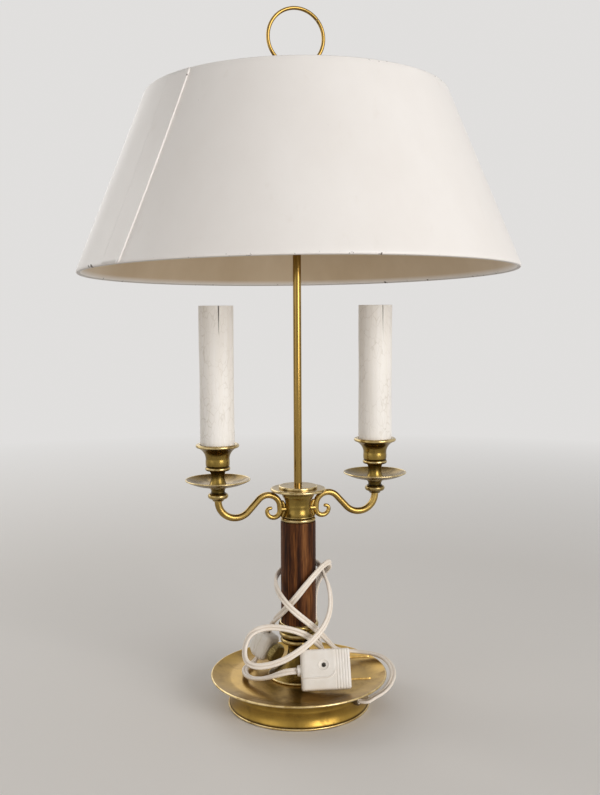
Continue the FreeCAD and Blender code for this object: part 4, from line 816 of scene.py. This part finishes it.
turnedPieces = {
    "baseDish": {
        "corners": [
            (60.8, 0.5), (63.5, 0.5, 0.29), (63.5, 2.6), (63.0, 2.6, -0.1), (61.0, 14.6, -0.1),
            (63.0, 22.5, -0.1), (78.5, 27.0, 0.5), (78.5, 29.0, -0.03), (62.0, 25.5),
            (5.05, 25.5), (5.05, 23.3), (60.8, 23.3), (58.8, 14.6), (60.8, 2.6)],
        "segments": 256, "longest": 2.2, "node": "base_dish", "finish": "dish_brass"},
    "pedestalTurned": {
        "corners": [
            (5.2, 25.5), (27.0, 25.5, 0.3), (27.0, 27.7, -0.16), (9.5, 51.0, -0.18), (13.5, 56.0),
            (14.66, 57.0, 0.4), (14.66, 61.6), (13.5, 62.3), (15.66, 63.0, 0.4),
            (15.66, 67.6, -0.1), (14.5, 71.0), (5.2, 71.0)],
        "segments": 160, "node": "pedestal", "finish": "pan_brass"},
    "ferruleTurned": {
        "corners": [
            (5.2, 71.0), (16.5, 71.0, 0.3125), (16.5, 75.8), (15.75, 75.8), (15.75, 74.0),
            (5.2, 74.0)],
        "segments": 160, "node": "column_ferrule"},
    "woodTurned": {
        "corners": [
            (5.2, 74.0), (15.1, 74.0), (15.7, 74.6), (15.7, 167.4), (15.1, 168.0), (5.2, 168.0)],
        "segments": 144, "node": "wood_column", "slot": "dark_wood"},
    "capitalNeck": {
        "corners": [
            (5.05, 168.0), (13.95, 168.0, 0.5), (13.95, 171.5), (14.2, 172.5, -0.1),
            (11.7, 181.4, -0.1), (14.2, 190.5, -0.207), (19.0, 195.0), (3.65, 195.0),
            (3.65, 190.5), (8.0, 190.5), (8.0, 172.5), (5.05, 172.5)],
        "segments": 160, "node": "capital_neck"},
    "capitalPlate": {
        "corners": [(3.65, 195.0), (23.4, 195.0, 0.5), (23.4, 197.6), (3.65, 197.6)],
        "segments": 160, "node": "capital_plate"},
    "capitalCap": {
        "corners": [(3.65, 197.6), (17.3, 197.6), (17.3, 199.0, 0.207), (16.5, 199.8),
                    (3.65, 199.8)],
        "segments": 160, "node": "capital_cap"},
    "rodTurned": {
        "corners": [(0, 190.5), (3.6, 190.5), (3.6, 558.0), (0, 558.0)], "closed": False,
        "segments": 48, "longest": 4.0, "node": "centre_rod", "finish": "rod_brass"},
    "finialTurned": {
        "corners": [
            (3.65, 551.0), (4.8, 551.0, 0.5), (4.8, 553.0, -0.1), (4.4, 557.5),
            (2.76, 558.92, 0.3), (4.6, 562.6, 0.207), (0, 567.2)],
        "closed": False, "segments": 64, "soft": 0.15, "node": "rod_finial"},
}
for name, shape in turnedPieces.items():
    addPiece(name, turnedMesh(name, shape), "lamp", shape.get("slot", "patinated_brass"),
             [shape["node"]], shape.get("finish"))

grommet = {"azimuth": -49.5, "level": 16.4, "inner": 59.5, "corners": [
    (0, 59.5), (3.05, 59.5), (3.05, 64.2), (3.6, 65.0), (4.2, 64.8), (4.4, 64.1), (4.4, 60.0)]}


def grommetMesh(shape):
    # A bush turned about its own axis, then laid level and swung to its bearing.
    line = softProfile(shape["corners"], False, 0.15)[0][1:]
    across, up, out = np.moveaxis(aroundAxis(line[:, :1], allRound(64), line[:, 1:]), -1, 0)
    bearing = math.radians(shape["azimuth"])
    cosine, sine = math.cos(bearing), math.sin(bearing)
    grid = np.stack([out * cosine - across * sine, out * sine + across * cosine,
                     up + shape["level"]], axis=-1)
    centre = (shape["inner"] * cosine, shape["inner"] * sine, shape["level"])
    return gridMesh("grommetBush", grid[::-1, ::-1], False, True, (None, centre), 0.0)


addPiece("grommetBush", grommetMesh(grommet), "lamp", "grommet_rubber", ["cord_grommet"])

ringSizes = {
    "radius": 24.4, "wire": 1.6, "level": 587.0, "end": 0.12,
    "joint": 0.7, "jointAt": 40.15,   # degrees that the joint leaves open, and its bearing
}


def ringMesh(sizes):
    # A wire bent to a circle, with its two ends meeting at the joint.
    first = sizes["jointAt"]
    around = np.radians(np.linspace(first, first + 360 - sizes["joint"], 240))
    path = np.stack([sizes["radius"] * np.cos(around), 0 * around,
                     sizes["level"] + sizes["radius"] * np.sin(around)], axis=1)
    return tubeMesh("ringWire", path, sizes["wire"], rounded=sizes["end"])


addPiece("ringWire", ringMesh(ringSizes), "lamp", "patinated_brass", ["ring_handle"],
         "rod_brass")
print("base, column and capital made")


armSizes = {
    "reach": 72.0, "top": 194.0,      # of the branch's axis, and of the bar's upper end
    "drop": 189.0, "tenon": 179.0,    # heights of the bowl's middle and of the tenon
    "bend": 2.4, "crest": 11.0,       # the crest's middle above the tenon, and its radius
    "straight": 14.0, "side": 16.5,   # the run between bowl and crest, and the crest's near side
    "fall": 3.6, "scroll": 6.0,       # the scroll's middle below the crest's, and its radius
    "tip": 2.7, "tipTurn": 105.0,     # radius and last bearing of the curl at the scroll's end
    "thick": 3.25, "thin": 2.7, "end": 1.6, "tenonRadius": 2.6, "tenonFrom": 8.2,
    "webAt": 12.6, "webBow": 2.2, "webHalf": 7.5, "webRadius": 1.8, "webTaper": 0.5,
}


def arcPoints(centre, radius, first, last):
    # Points about 0.7 mm apart along a circle, and six at least, between two bearings.
    angle = np.radians(np.linspace(first, last, max(6, int(abs(last - first) * radius / 40))))
    return np.stack([centre[0] + radius * np.cos(angle), centre[1] + radius * np.sin(angle)], 1)


def armLine(sizes):
    # Down from the knop, round the bowl, over the crest and into the small scroll. The bowl's
    # radius is the one whose circle lets the straight between bowl and crest touch both.
    crestX = sizes["side"] + sizes["crest"]
    crestZ = sizes["tenon"] + sizes["bend"]
    span, climb = sizes["reach"] - crestX, sizes["drop"] - crestZ
    bowl = (span ** 2 + climb ** 2 - sizes["crest"] ** 2 - sizes["straight"] ** 2) / (
        2 * (span + sizes["crest"]))
    bowlX = sizes["reach"] - bowl
    heading = math.degrees(math.atan2(crestZ - sizes["drop"], crestX - bowlX)
                           - math.atan2(bowl + sizes["crest"], sizes["straight"])) % 360
    scrollX, scrollZ = sizes["side"] + sizes["scroll"], crestZ - sizes["fall"]
    main = np.concatenate([
        [[sizes["reach"], sizes["top"]]],
        arcPoints((bowlX, sizes["drop"]), bowl, 0, heading + 90 - 360),
        arcPoints((crestX, crestZ), sizes["crest"], heading - 90, 180)])
    curl = np.concatenate([
        arcPoints((scrollX, scrollZ), sizes["scroll"], 180, 360),
        arcPoints((sizes["side"] + 2 * sizes["scroll"] - sizes["tip"], scrollZ), sizes["tip"], 8,
                  sizes["tipTurn"])])
    return main, curl


def armMesh(name, sizes, sign):
    # The bar gets thinner towards the scroll. A tenon goes into the capital, and a short upright
    # web round the tenon bows towards it.
    main, curl = armLine(sizes)
    length = steps(main).sum()
    line = evenly(np.concatenate([main, curl]), 0.7)
    line = bell(line, 1.2, False)
    run = np.linspace(0, 1, len(line))
    whole = steps(line).sum()
    radii = np.interp(run * whole, [0, length, whole],
                      [sizes["thick"], sizes["thin"], sizes["end"]])
    path = np.stack([line[:, 0] * sign, 0 * run, line[:, 1]], axis=1)
    bar = tubeMesh(name, path, radii, sides=32, rounded=sizes["end"])
    foot = np.linspace(sizes["tenonFrom"], sizes["side"], 8)
    tenonPath = np.stack([foot * sign, 0 * foot, 0 * foot + sizes["tenon"]], axis=1)
    tenon = tubeMesh(name, tenonPath, sizes["tenonRadius"], sides=32)
    height = np.linspace(-1, 1, 16)
    webPath = np.stack([(sizes["webAt"] + sizes["webBow"] * height ** 2) * sign, 0 * height,
                        sizes["tenon"] + sizes["webHalf"] * height], axis=1)
    web = tubeMesh(name, webPath, sizes["webRadius"] - sizes["webTaper"] * height ** 2, sides=20)
    return joined(name, [bar, tenon, web])


branchPieces = {
    "knop": {
        "corners": [
            (3.3, 189.4), (4.6, 189.4, -0.1), (6.5, 191.6, 0.5), (6.5, 196.6, -0.1),
            (5.9, 198.4, -0.1), (7.8, 201.5), (7.8, 202.5), (4.05, 202.5), (4.05, 194.0),
            (3.3, 194.0)],
        "segments": 96},
    "drip_pan": {
        "corners": [
            (4.05, 202.5), (9.0, 202.5, 0.06), (27.85, 207.7, 0.5), (27.85, 209.0, -0.06),
            (9.0, 203.8), (4.05, 203.8)],
        "segments": 192, "soft": 0.2, "finish": "pan_brass"},
    "candle_cup": {
        "corners": [
            (4.05, 203.8), (7.4, 203.8), (7.4, 204.8, -0.1), (6.4, 214.6, -0.207),
            (9.81, 216.6, 0.35), (9.81, 220.0), (10.4, 221.0, 0.03), (10.4, 227.0, -0.15),
            (17.5, 236.8, 0.5), (17.5, 239.8), (15.5, 239.8), (15.5, 238.0), (4.05, 238.0)],
        "segments": 128, "soft": 0.2},
}
sleeveSizes = {
    "radius": 15.0, "wall": 1.5, "bottom": 238.0, "top": 359.5, "segments": 128,
    "hair": 0.0008,                   # half angle of the slit's columns where it has closed
    "skin": 0.25,                     # wall left at the bottom of the slit
    "swell": (0.12, 17.0), "ripple": (0.06, 9.0),     # size and length of the wall's waves
    "left": {"azimuth": -91.0, "length": 26.0, "width": 0.9},
    "right": {"azimuth": -81.6, "length": 30.0, "width": 0.9},
}


def sleeveMesh(name, sizes, side, x):
    # A tube whose wall is drawn in along one narrow wedge at its top, a slit that tapers to
    # nothing: its columns crowd to the wedge's edges, which move with the height.
    slit = sizes[side]
    outer, inner = sizes["radius"], sizes["radius"] - sizes["wall"]
    corners = [(inner, sizes["bottom"]), (outer, sizes["bottom"]), (outer, sizes["top"]),
               (inner, sizes["top"])]
    line, wear = softProfile(corners, True, 0.22, 2.4)
    height = line[:, 1:]
    wedge = ramp(height - sizes["top"] + slit["length"], slit["length"]) ** 0.8
    half = wedge * slit["width"] / 2 / outer + sizes["hair"]
    start = math.radians(slit["azimuth"])
    spread = half + np.linspace(0, 1, sizes["segments"]) * 2 * (math.pi - half)
    edge = np.concatenate([-half, -half * 0.96, half * 0.96], axis=1)
    angle = start + np.concatenate([edge[:, 1:], spread], axis=1)
    sunk = np.zeros_like(angle)
    sunk[:, :2] = 1
    rim = line[:, :1] > (outer + inner) / 2
    cut = sunk * (wedge > 0.02)
    radius = line[:, :1] - np.where(rim, cut * (sizes["wall"] - sizes["skin"]), 0)
    (swell, swellRun), (ripple, rippleRun) = sizes["swell"], sizes["ripple"]
    waves = swell * np.sin(height / swellRun) + ripple * np.sin(3 * angle + height / rippleRun)
    radius = radius + waves - swell
    grid = aroundAxis(radius, angle, height, (x, 0))
    # The slit's columns are marked far below zero, so that the finish paints a shadow into the
    # slit.
    edgesAndSlitShadow = wear[:, None] * np.ones_like(angle) * 0.3 - cut * 1.2
    return gridMesh(name, grid, True, True, wear=edgesAndSlitShadow)


for side, sign in (("left", -1), ("right", 1)):
    addPiece("arm_" + side, armMesh("arm_" + side, armSizes, sign), "lamp", "patinated_brass",
             ["scroll_arm_" + side], "arm_brass")
    for part, shape in branchPieces.items():
        shape = dict(shape, centre=(armSizes["reach"] * sign, 0))
        name = "turned_" + part + "_" + side
        addPiece(name, turnedMesh(name, shape), "lamp", "patinated_brass", [part + "_" + side],
                 shape.get("finish"))
    name = "sleeve_white_" + side
    addPiece(name, sleeveMesh(name, sleeveSizes, side, armSizes["reach"] * sign),
             "sleeve_" + side, "candle_white", ["candle_sleeve_" + side])
print("arms and branches made")


shadeSizes = {
    "bottom": (190.0, 387.0), "top": (130.0, 536.0), "sheet": 0.7, "wire": 1.4,
    "segments": 360, "waves": 0.35,
    "seam": (212.3, 218.3),           # bearing of the lap's free edge at the bottom and the top
    "lapWidth": 26.0, "lapStep": 1.35,
    "hemFrom": 170.0,                 # where the lower hem's roll starts, from its own lean
    "tilt": 2.2, "pivot": 534.6,      # front up, about the spider's middle
}


def shadeLine(sizes):
    # The sheet's outside from hem to hem, rolled inwards round a wire at each end, and back.
    (lowR, lowZ), (topR, topZ) = sizes["bottom"], sizes["top"]
    slope = (lowR - topR) / (topZ - lowZ)
    slant = math.hypot(1, slope)
    inner = sizes["sheet"] * slant
    roll = sizes["wire"] + sizes["sheet"] / 2
    wireLow = (lowR - sizes["wire"] * slope - inner - sizes["wire"] * slant, lowZ + sizes["wire"])
    wireTop = (topR + sizes["wire"] * slope - inner - sizes["wire"] * slant, topZ - sizes["wire"])
    lean = math.degrees(math.atan(slope))
    low = arcPoints(wireLow, roll, sizes["hemFrom"] + lean, 360 + lean)
    high = arcPoints(wireTop, roll, lean, 180 + lean)
    return [tuple(p) for p in np.concatenate([low, high]).tolist()]


def shadeWave(angle):
    # The sheet isn't quite round: a few low waves that die out with their number.
    return sum(np.sin(n * angle + 2.1 * n) / n for n in (2, 3, 5, 7)) * 0.5 - 0.75


def tilted(grid, sizes):
    # Every point turned about a level line from side to side through the pivot.
    lean = math.radians(sizes["tilt"])
    x, y, z = np.moveaxis(grid, -1, 0)
    z = z - sizes["pivot"]
    return np.stack([x, y * math.cos(lean) + z * math.sin(lean),
                     z * math.cos(lean) - y * math.sin(lean) + sizes["pivot"]], axis=-1)


def slopeMarks(radius, height, sizes):
    # How high up the slope, 0 to 1, whether the point is on the sheet's inner side, and whether
    # it's on the underside of the lower rolled hem, where the finish paints a thin shadow.
    (lowR, lowZ), (topR, topZ) = sizes["bottom"], sizes["top"]
    rise = (height - lowZ) / (topZ - lowZ)
    gap = lowR - rise * (lowR - topR) - radius
    inside = (gap > sizes["sheet"] * 0.6) & (rise > 0.022) & (rise < 0.978)
    # The underside of the lower hem's roll, which gets a painted shadow.
    worn = (height < lowZ + sizes["wire"] * 0.45) & (gap > sizes["wire"] * 0.9)
    return rise, inside, worn


def shadeMesh(sizes):
    # The sheet's outline carried round the axis: x = r cos a, y = r sin a, with the low waves
    # added to r, and then tilted. The marks tell the finish where a point is.
    line = softProfile(shadeLine(sizes), True, soft=0.12, longest=5.0, turn=12.0)[0]
    angle = allRound(sizes["segments"])
    radius = line[:, :1] + sizes["waves"] * shadeWave(angle)
    grid = aroundAxis(radius, angle, line[:, 1:])
    mesh = gridMesh("shadeCone", tilted(grid, sizes), True, True)
    marks = slopeMarks(line[:, :1], line[:, 1:], sizes)
    for name, values in zip(("rise", "inside", "worn"), marks):
        markPoints(mesh, name, values + 0 * angle)
    return mesh


def seamMesh(sizes):
    # The overlapping end of the sheet: it leaves the cone gently, and its free edge is a sharp
    # step, which its last four columns make. The edge's bearing changes evenly with the height.
    (lowR, lowZ), (topR, topZ) = sizes["bottom"], sizes["top"]
    wide, step = sizes["lapWidth"], sizes["lapStep"]
    gentle = np.linspace(0, 1, 24)
    along = np.r_[gentle * (wide - 0.5), wide - 0.25, wide - 0.08, wide, wide]
    lift = step * np.r_[gentle ** 4 - 0.03, 0.99, 1.0, 0.9, 0.05]
    share = np.linspace(0, 1, 48)[:, None]
    height = lowZ + 0.6 + share * (topZ - lowZ - 1.2)
    outer = lowR - (height - lowZ) * (lowR - topR) / (topZ - lowZ)
    edge = np.radians(sizes["seam"][0] + share * (sizes["seam"][1] - sizes["seam"][0]))
    angle = edge + (along - wide) / outer
    base = outer + sizes["waves"] * shadeWave(angle)
    outside, underside = (aroundAxis(base + up, angle, height) for up in (lift, -0.3))
    ring = tilted(np.concatenate([outside, underside[:, ::-1]], axis=1), sizes)
    mesh = gridMesh("shadeLap", ring, False, True,
                    (ring[0].mean(axis=0), ring[-1].mean(axis=0)), 0.0)
    markPoints(mesh, "rise", np.full(len(mesh.vertices), 0.5))
    return mesh


addPiece("shadeCone", shadeMesh(shadeSizes), "shade", "shade_lacquer",
         ["shade_skin", "shade_top_wire", "shade_bottom_wire"])
addPiece("shadeLap", seamMesh(shadeSizes), "shade", "shade_lacquer", ["shade_seam"])
print("shade made")


switchSizes = {
    "centre": (-26.2, 31.3, 46.2),
    "axes": ((0.55195, -0.75691, -0.34991), (0.74573, 0.63582, -0.19907),
             (0.37316, -0.15106, 0.91539)),
    "half": (11.0, 9.0, 12.5), "rounding": 4.6, "fine": (-9, 3.5, 0.25),
    "core": (4.0, 3.0, 6.0),          # half sizes of the block from which a press is aimed
    "seam": 1.0, "slant": 0.32, "grooveDepth": 0.55, "grooveWidth": 0.75,
    "taper": 0.035, "taperFrom": -2,  # the far end gets slimmer by this share per millimetre
    "knobFrom": 13.3, "knobTo": 19.8, "knobRadius": 9.2, "rim": 1.4,
    "teeth": 28, "toothDepth": 0.28, "stem": 3.0, "stemLength": 3.7,
}


def switchPress(points):
    # The seam between the halves and a slanting groove that meets it, pressed in.
    sizes = switchSizes
    x, y, z = points.T
    inwards = np.clip(np.abs(points) - sizes["core"], 0, None)
    way = unit(inwards * np.sign(points) + 1e-9)
    slanting = x + sizes["slant"] * (z + sizes["half"][2])
    groove = sum(sizes["grooveDepth"] * dip(at, sizes["seam"], sizes["grooveWidth"])
                 for at in (x, slanting))
    taper = 1 - sizes["taper"] * np.clip(sizes["taperFrom"] - x, 0, None)
    shaped = points - way * groove[:, None]
    shaped[:, 1:] *= taper[:, None]
    return shaped


def switchMesh(sizes):
    # A box with well rounded edges, its points close together where the grooves are.
    hx, hy, hz = sizes["half"]
    rounding = sizes["rounding"]
    places = (crowded(hx, rounding, 1.0, sizes["fine"]), edged(hy, rounding, 0.8),
              edged(hz, rounding, 0.5))
    mesh = boxMesh("switchShell", sizes["half"], rounding, places, switchPress)
    return posedMesh(mesh, sizes)


def knobMesh(sizes):
    # A disc with a coin-edge rim: its radius swings in and out with the angle, most at the rim.
    front, back, rim = sizes["knobTo"], sizes["knobFrom"], sizes["knobRadius"]
    foot = back - sizes["stemLength"]
    corners = [(0, foot), (sizes["stem"], foot), (sizes["stem"], back),
               (rim - 1.0, back), (rim, back + 1.0), (rim, front - 1.2), (rim - 1.2, front),
               (0, front)]
    line, wear = softProfile(corners, False, 0.2, 0.8)
    line, wear = line[1:-1], wear[1:-1]
    angle = allRound(12 * sizes["teeth"])
    atRim = ramp(line[:, :1] - rim + sizes["rim"], sizes["rim"])
    tooth = -sizes["toothDepth"] * (0.5 - 0.5 * np.cos(angle * sizes["teeth"]))
    radius = line[:, :1] + atRim * tooth
    grid = np.roll(aroundAxis(radius, angle, line[:, 1:]), 1, axis=-1)
    mesh = gridMesh("switchKnob", grid, False, True, ((foot, 0, 0), (front, 0, 0)),
                    wear[:, None] * 0.4 + atRim * tooth * 2)
    return posedMesh(mesh, sizes)


switchBody = addPiece("switchShell", switchMesh(switchSizes), "lamp", "switch_white",
                      ["switch_base", "switch_cover"])
switchKnob = addPiece("switchKnob", knobMesh(switchSizes), "switch_knob", "knob_olive",
                      ["switch_button"])
print("switch made")


plugSizes = {
    "centre": (12.8, -43.8, 45.2),
    "axes": ((0.97343, -0.22541, 0.04016), (0.06003, 0.42055, 0.90528),
             (-0.22095, -0.87882, 0.42291)),
    "half": (21.5, 17.0), "depth": 8.0, "rounding": 1.8, "gap": 0.06,
    "fine": ((-6.5, 20, 0.25), (-9.5, 9, 0.25)),
    "face": 4.5,                      # height above which the outer face's marks are pressed
    "ribs": (18.7, 16.3, 13.9, 11.5, 9.1), "ribWidth": 0.6, "ribDepth": 0.45,
    "grip": (16.0, 5.2),              # breadth beyond and height below which a rib goes round
    "tail": (-17.0, 4.5, 3.4),        # start, run and depth of the rounded-off end
    "panelAt": (0.5, 1.8), "panelRadius": 9.0, "panelRise": 0.35, "panelEdge": 0.7,
    "panelEnd": (9.0, 1.5),           # where the panel ends, and over what run
    "ridge": (-0.5, 0.9, 0.5),        # middle, width and rise of the line inside its edge
    "ridgeEnd": (10.5, 3),            # where the ridge ends, and over what run
    "band": (-8.6, 8.4, 2.0),         # start, run and depth of the sloping band
    "screwAt": (-1.5, 3.6),
    "dish": (4.3, 1.7, 0.9), "well": (2.0, 0.45, 1.7),     # radius, run and depth
    "lip": (4.5, 0.7, 0.15),          # radius, width and rise
    "neck": (-24.5, -18, 5.0),        # far end, near end and radius
    "neckRolls": ((-24.5, 1.2, 0.9), (-22.6, 0.7, 0.35)),  # middle, width and depth of each
    "spacing": 9.2, "bladeRoot": 12.0, "bladeLength": 17.5, "bladeWidth": 6.3,
    "bladeThick": 1.6, "bladeRounding": 0.3, "bladeTip": 2.4, "bladeHole": (4.2, 1.5),
}


def plugPress(sizes, sign):
    # Pressed into one half's outer face: grooves across the grip, a raised panel with a rounded
    # corner, a band that slopes away below it, and a dished well for the screw. The end that
    # the flex enters is rounded off.
    def press(points):
        points = points + [0, 0, sign * sizes["depth"] / 2]
        x, y, z = points.T
        outer = ramp(sign * z - sizes["face"])
        grip = sum(dip(x, at, sizes["ribWidth"]) for at in sizes["ribs"])
        broad, high = sizes["grip"]
        sides = ramp(np.abs(y) - broad) * ramp(high - abs(z))
        drop = sizes["ribDepth"] * ramp(grip)
        start, run, depth = sizes["tail"]
        drop = drop + depth * (1 - np.sqrt(1 - ramp(start - x, run) ** 2 * 0.98))
        if sign > 0:
            acrossX, acrossY = x - sizes["panelAt"][0], sizes["panelAt"][1] - y
            outside = np.hypot(np.clip(acrossX, 0, None), np.clip(acrossY, 0, None)) \
                + np.minimum(np.maximum(acrossX, acrossY), 0) - sizes["panelRadius"]
            end, run = sizes["panelEnd"]
            panel = ramp(0.5 - outside / sizes["panelEdge"]) * ramp(end - x, run)
            middle, wide, rise = sizes["ridge"]
            end, run = sizes["ridgeEnd"]
            ridge = rise * dip(outside, middle, wide) * ramp(end - x, run)
            start, run, depth = sizes["band"]
            band = depth * ramp(start - y, run) ** 1.3
            reach = np.hypot(x - sizes["screwAt"][0], y - sizes["screwAt"][1])
            edge, run, depth = sizes["dish"]
            dish = depth * ramp(edge - reach, run) ** 0.7
            edge, run, depth = sizes["well"]
            well = depth * ramp(edge - reach, run)
            edge, wide, rise = sizes["lip"]
            lip = rise * dip(reach, edge, wide)
            rise = sizes["panelRise"]
            drop = drop + rise - rise * panel - ridge + band + dish + well - lip
        moved = points.copy()
        moved[:, 2] -= sign * outer * drop
        moved[:, 1] -= np.sign(y) * sides * sizes["ribDepth"] * ramp(grip)
        return moved
    return press


def plugHalf(name, sizes, sign):
    # A shallow box with rounded edges, its points close together where its face is shaped.
    depth = sizes["depth"] / 2 - sizes["gap"]
    rounding = sizes["rounding"]
    places = [crowded(half, rounding, 0.5, fine)
              for half, fine in zip(sizes["half"], sizes["fine"])]
    mesh = boxMesh(name, (*sizes["half"], depth), rounding,
                   (*places, edged(depth, rounding, 0.5)), plugPress(sizes, sign))
    return posedMesh(mesh, sizes)


def nozzleMesh(sizes):
    # The short round neck that the flex goes into, with a rolled lip.
    first, last, radii = sizes["neck"]
    path = np.stack([np.linspace(first, last, 14), np.zeros(14), np.zeros(14)], axis=1)
    for middle, wide, depth in sizes["neckRolls"]:
        radii = radii - depth * dip(path[:, 0], middle, wide)
    mesh = tubeMesh("plugNeck", path, radii, (0, 0, 1), 40)
    return posedMesh(mesh, sizes)


def bladeMesh(name, sizes, sign):
    # A strip on edge, its tip rounded and thinned, with a small round hole near it.
    start = sizes["half"][0] - sizes["bladeRoot"]
    end = sizes["half"][0] + sizes["bladeLength"]
    half = ((end - start) / 2, sizes["bladeThick"] / 2, sizes["bladeWidth"] / 2)
    rounding = sizes["bladeRounding"]
    places = [edged(size, rounding, step) for size, step in zip(half, (0.6, 0.4, 0.5))]

    def press(points):
        x, y, z = points.T
        tip = ramp(x - half[0] + sizes["bladeTip"], sizes["bladeTip"])
        moved = points.copy()
        moved[:, 2] *= 1 - 0.3 * tip ** 2.5
        moved[:, 1] *= 1 - 0.45 * tip ** 1.5
        back, radius = sizes["bladeHole"]
        hole = dip(np.hypot(x - half[0] + back, z), 0.0, radius)
        moved[:, 1] *= 1 - 0.75 * hole
        moved += [(start + end) / 2, sign * sizes["spacing"], 0]
        return moved

    return posedMesh(boxMesh(name, half, rounding, places, press), sizes)


backMeshes = [plugHalf("plugHalfBack", plugSizes, -1), nozzleMesh(plugSizes)]
plugBase = addPiece("plugHalfBack", joined("plugHalfBack", backMeshes), "lamp", "plug_white",
                    ["plug_base"])
plugFront = addPiece("plugHalfFront", plugHalf("plugHalfFront", plugSizes, 1), "lamp",
                     "plug_white", ["plug_cover"])
plugBlades = [
    addPiece("blade_" + side, bladeMesh("blade_" + side, plugSizes, sign), "lamp", "blade_brass",
             ["plug_blade_" + side])
    for side, sign in (("lower", -1), ("upper", 1))]
print("plug made")


# Nodes that no piece replaces get their slot's finish.
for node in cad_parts.values():
    for slot in node.material_slots:
        name = slot.material.name.split(".")[0] if slot.material else ""
        if name in finishes:
            slot.material = finishes[name]


studio = {
    "floor": "#f3f0ec", "floorSize": 12.0,
    "fade": (1.2, 1.3),       # where the floor melts into the backdrop, and over what run
    "key": {"place": (1.25, -2.55, 0.92), "size": 1.7, "power": 53.0, "tint": (1.0, 0.985, 0.97)},
    "fill": {"place": (-1.5, -0.75, 0.65), "size": 1.1, "power": 2.2, "tint": (1.0, 0.98, 0.96)},
    "rim": {"place": (-1.3, 0.9, 0.9), "size": 0.9, "power": 4.5, "tint": (1.0, 0.98, 0.95)},
    "back": {"place": (-0.2, 1.75, 1.15), "size": 1.2, "power": 5.0, "tint": (1.0, 0.98, 0.95)},
    "aim": (0, 0, 0.33),
    "air": 0.28, "backdrop": 0.75, "tint": (1.0, 0.985, 0.97, 1.0),
}


def addFloor():
    # A pale floor that keeps the shadow near the object and becomes the backdrop further off.
    half = studio["floorSize"] / 2
    mesh = bpy.data.meshes.new("floor")
    mesh.from_pydata([(-half, -half, 0), (half, -half, 0), (half, half, 0), (-half, half, 0)], [],
                     [(0, 1, 2, 3)])
    floor = linked("floor", mesh)
    finish = Finish("floorPale", Roughness=0.8, Specular_IOR_Level=0.2)
    finish.set("Base Color", hexColour(studio["floor"]))
    x, y, z = finish.axes()
    far = ((x * x + y * y) ** 0.5).above(*studio["fade"])
    glow = finish.node("ShaderNodeEmission", {}, {
        "Color": studio["tint"], "Strength": studio["backdrop"]})
    both = finish.node("ShaderNodeMixShader", {}, {
        0: far * finish.seen(), 1: Wire(finish, finish.shader.outputs[0]), 2: glow})
    finish.feed(finish.found("OUTPUT_MATERIAL").inputs["Surface"], both)
    mesh.materials.append(finish.material)


def addLamp(name, settings):
    # A square lamp that faces the aim and isn't seen itself.
    lamp = bpy.data.lights.new(name, "AREA")
    lamp.energy = settings["power"]
    lamp.size = settings["size"]
    lamp.color = settings["tint"]
    holder = linked(name, lamp)
    holder.visible_camera = False
    place = Vector(settings["place"])
    holder.location = place
    holder.rotation_euler = (Vector(studio["aim"]) - place).to_track_quat("-Z", "Y").to_euler()


def addWorld():
    # Even pale air for the camera and mirrors, and a weaker glow for the light itself.
    world = bpy.data.worlds.new("studio")
    scene.world = world
    world.use_nodes = True
    air = Wiring(world.node_tree)
    level = studio["air"] + air.seen() * (studio["backdrop"] - studio["air"])
    background = air.found("BACKGROUND")
    air.feed(background.inputs["Color"], studio["tint"])
    air.feed(background.inputs["Strength"], level)


addFloor()
for name in ("key", "fill", "rim", "back"):
    addLamp(name, studio[name])
addWorld()
print("studio made")
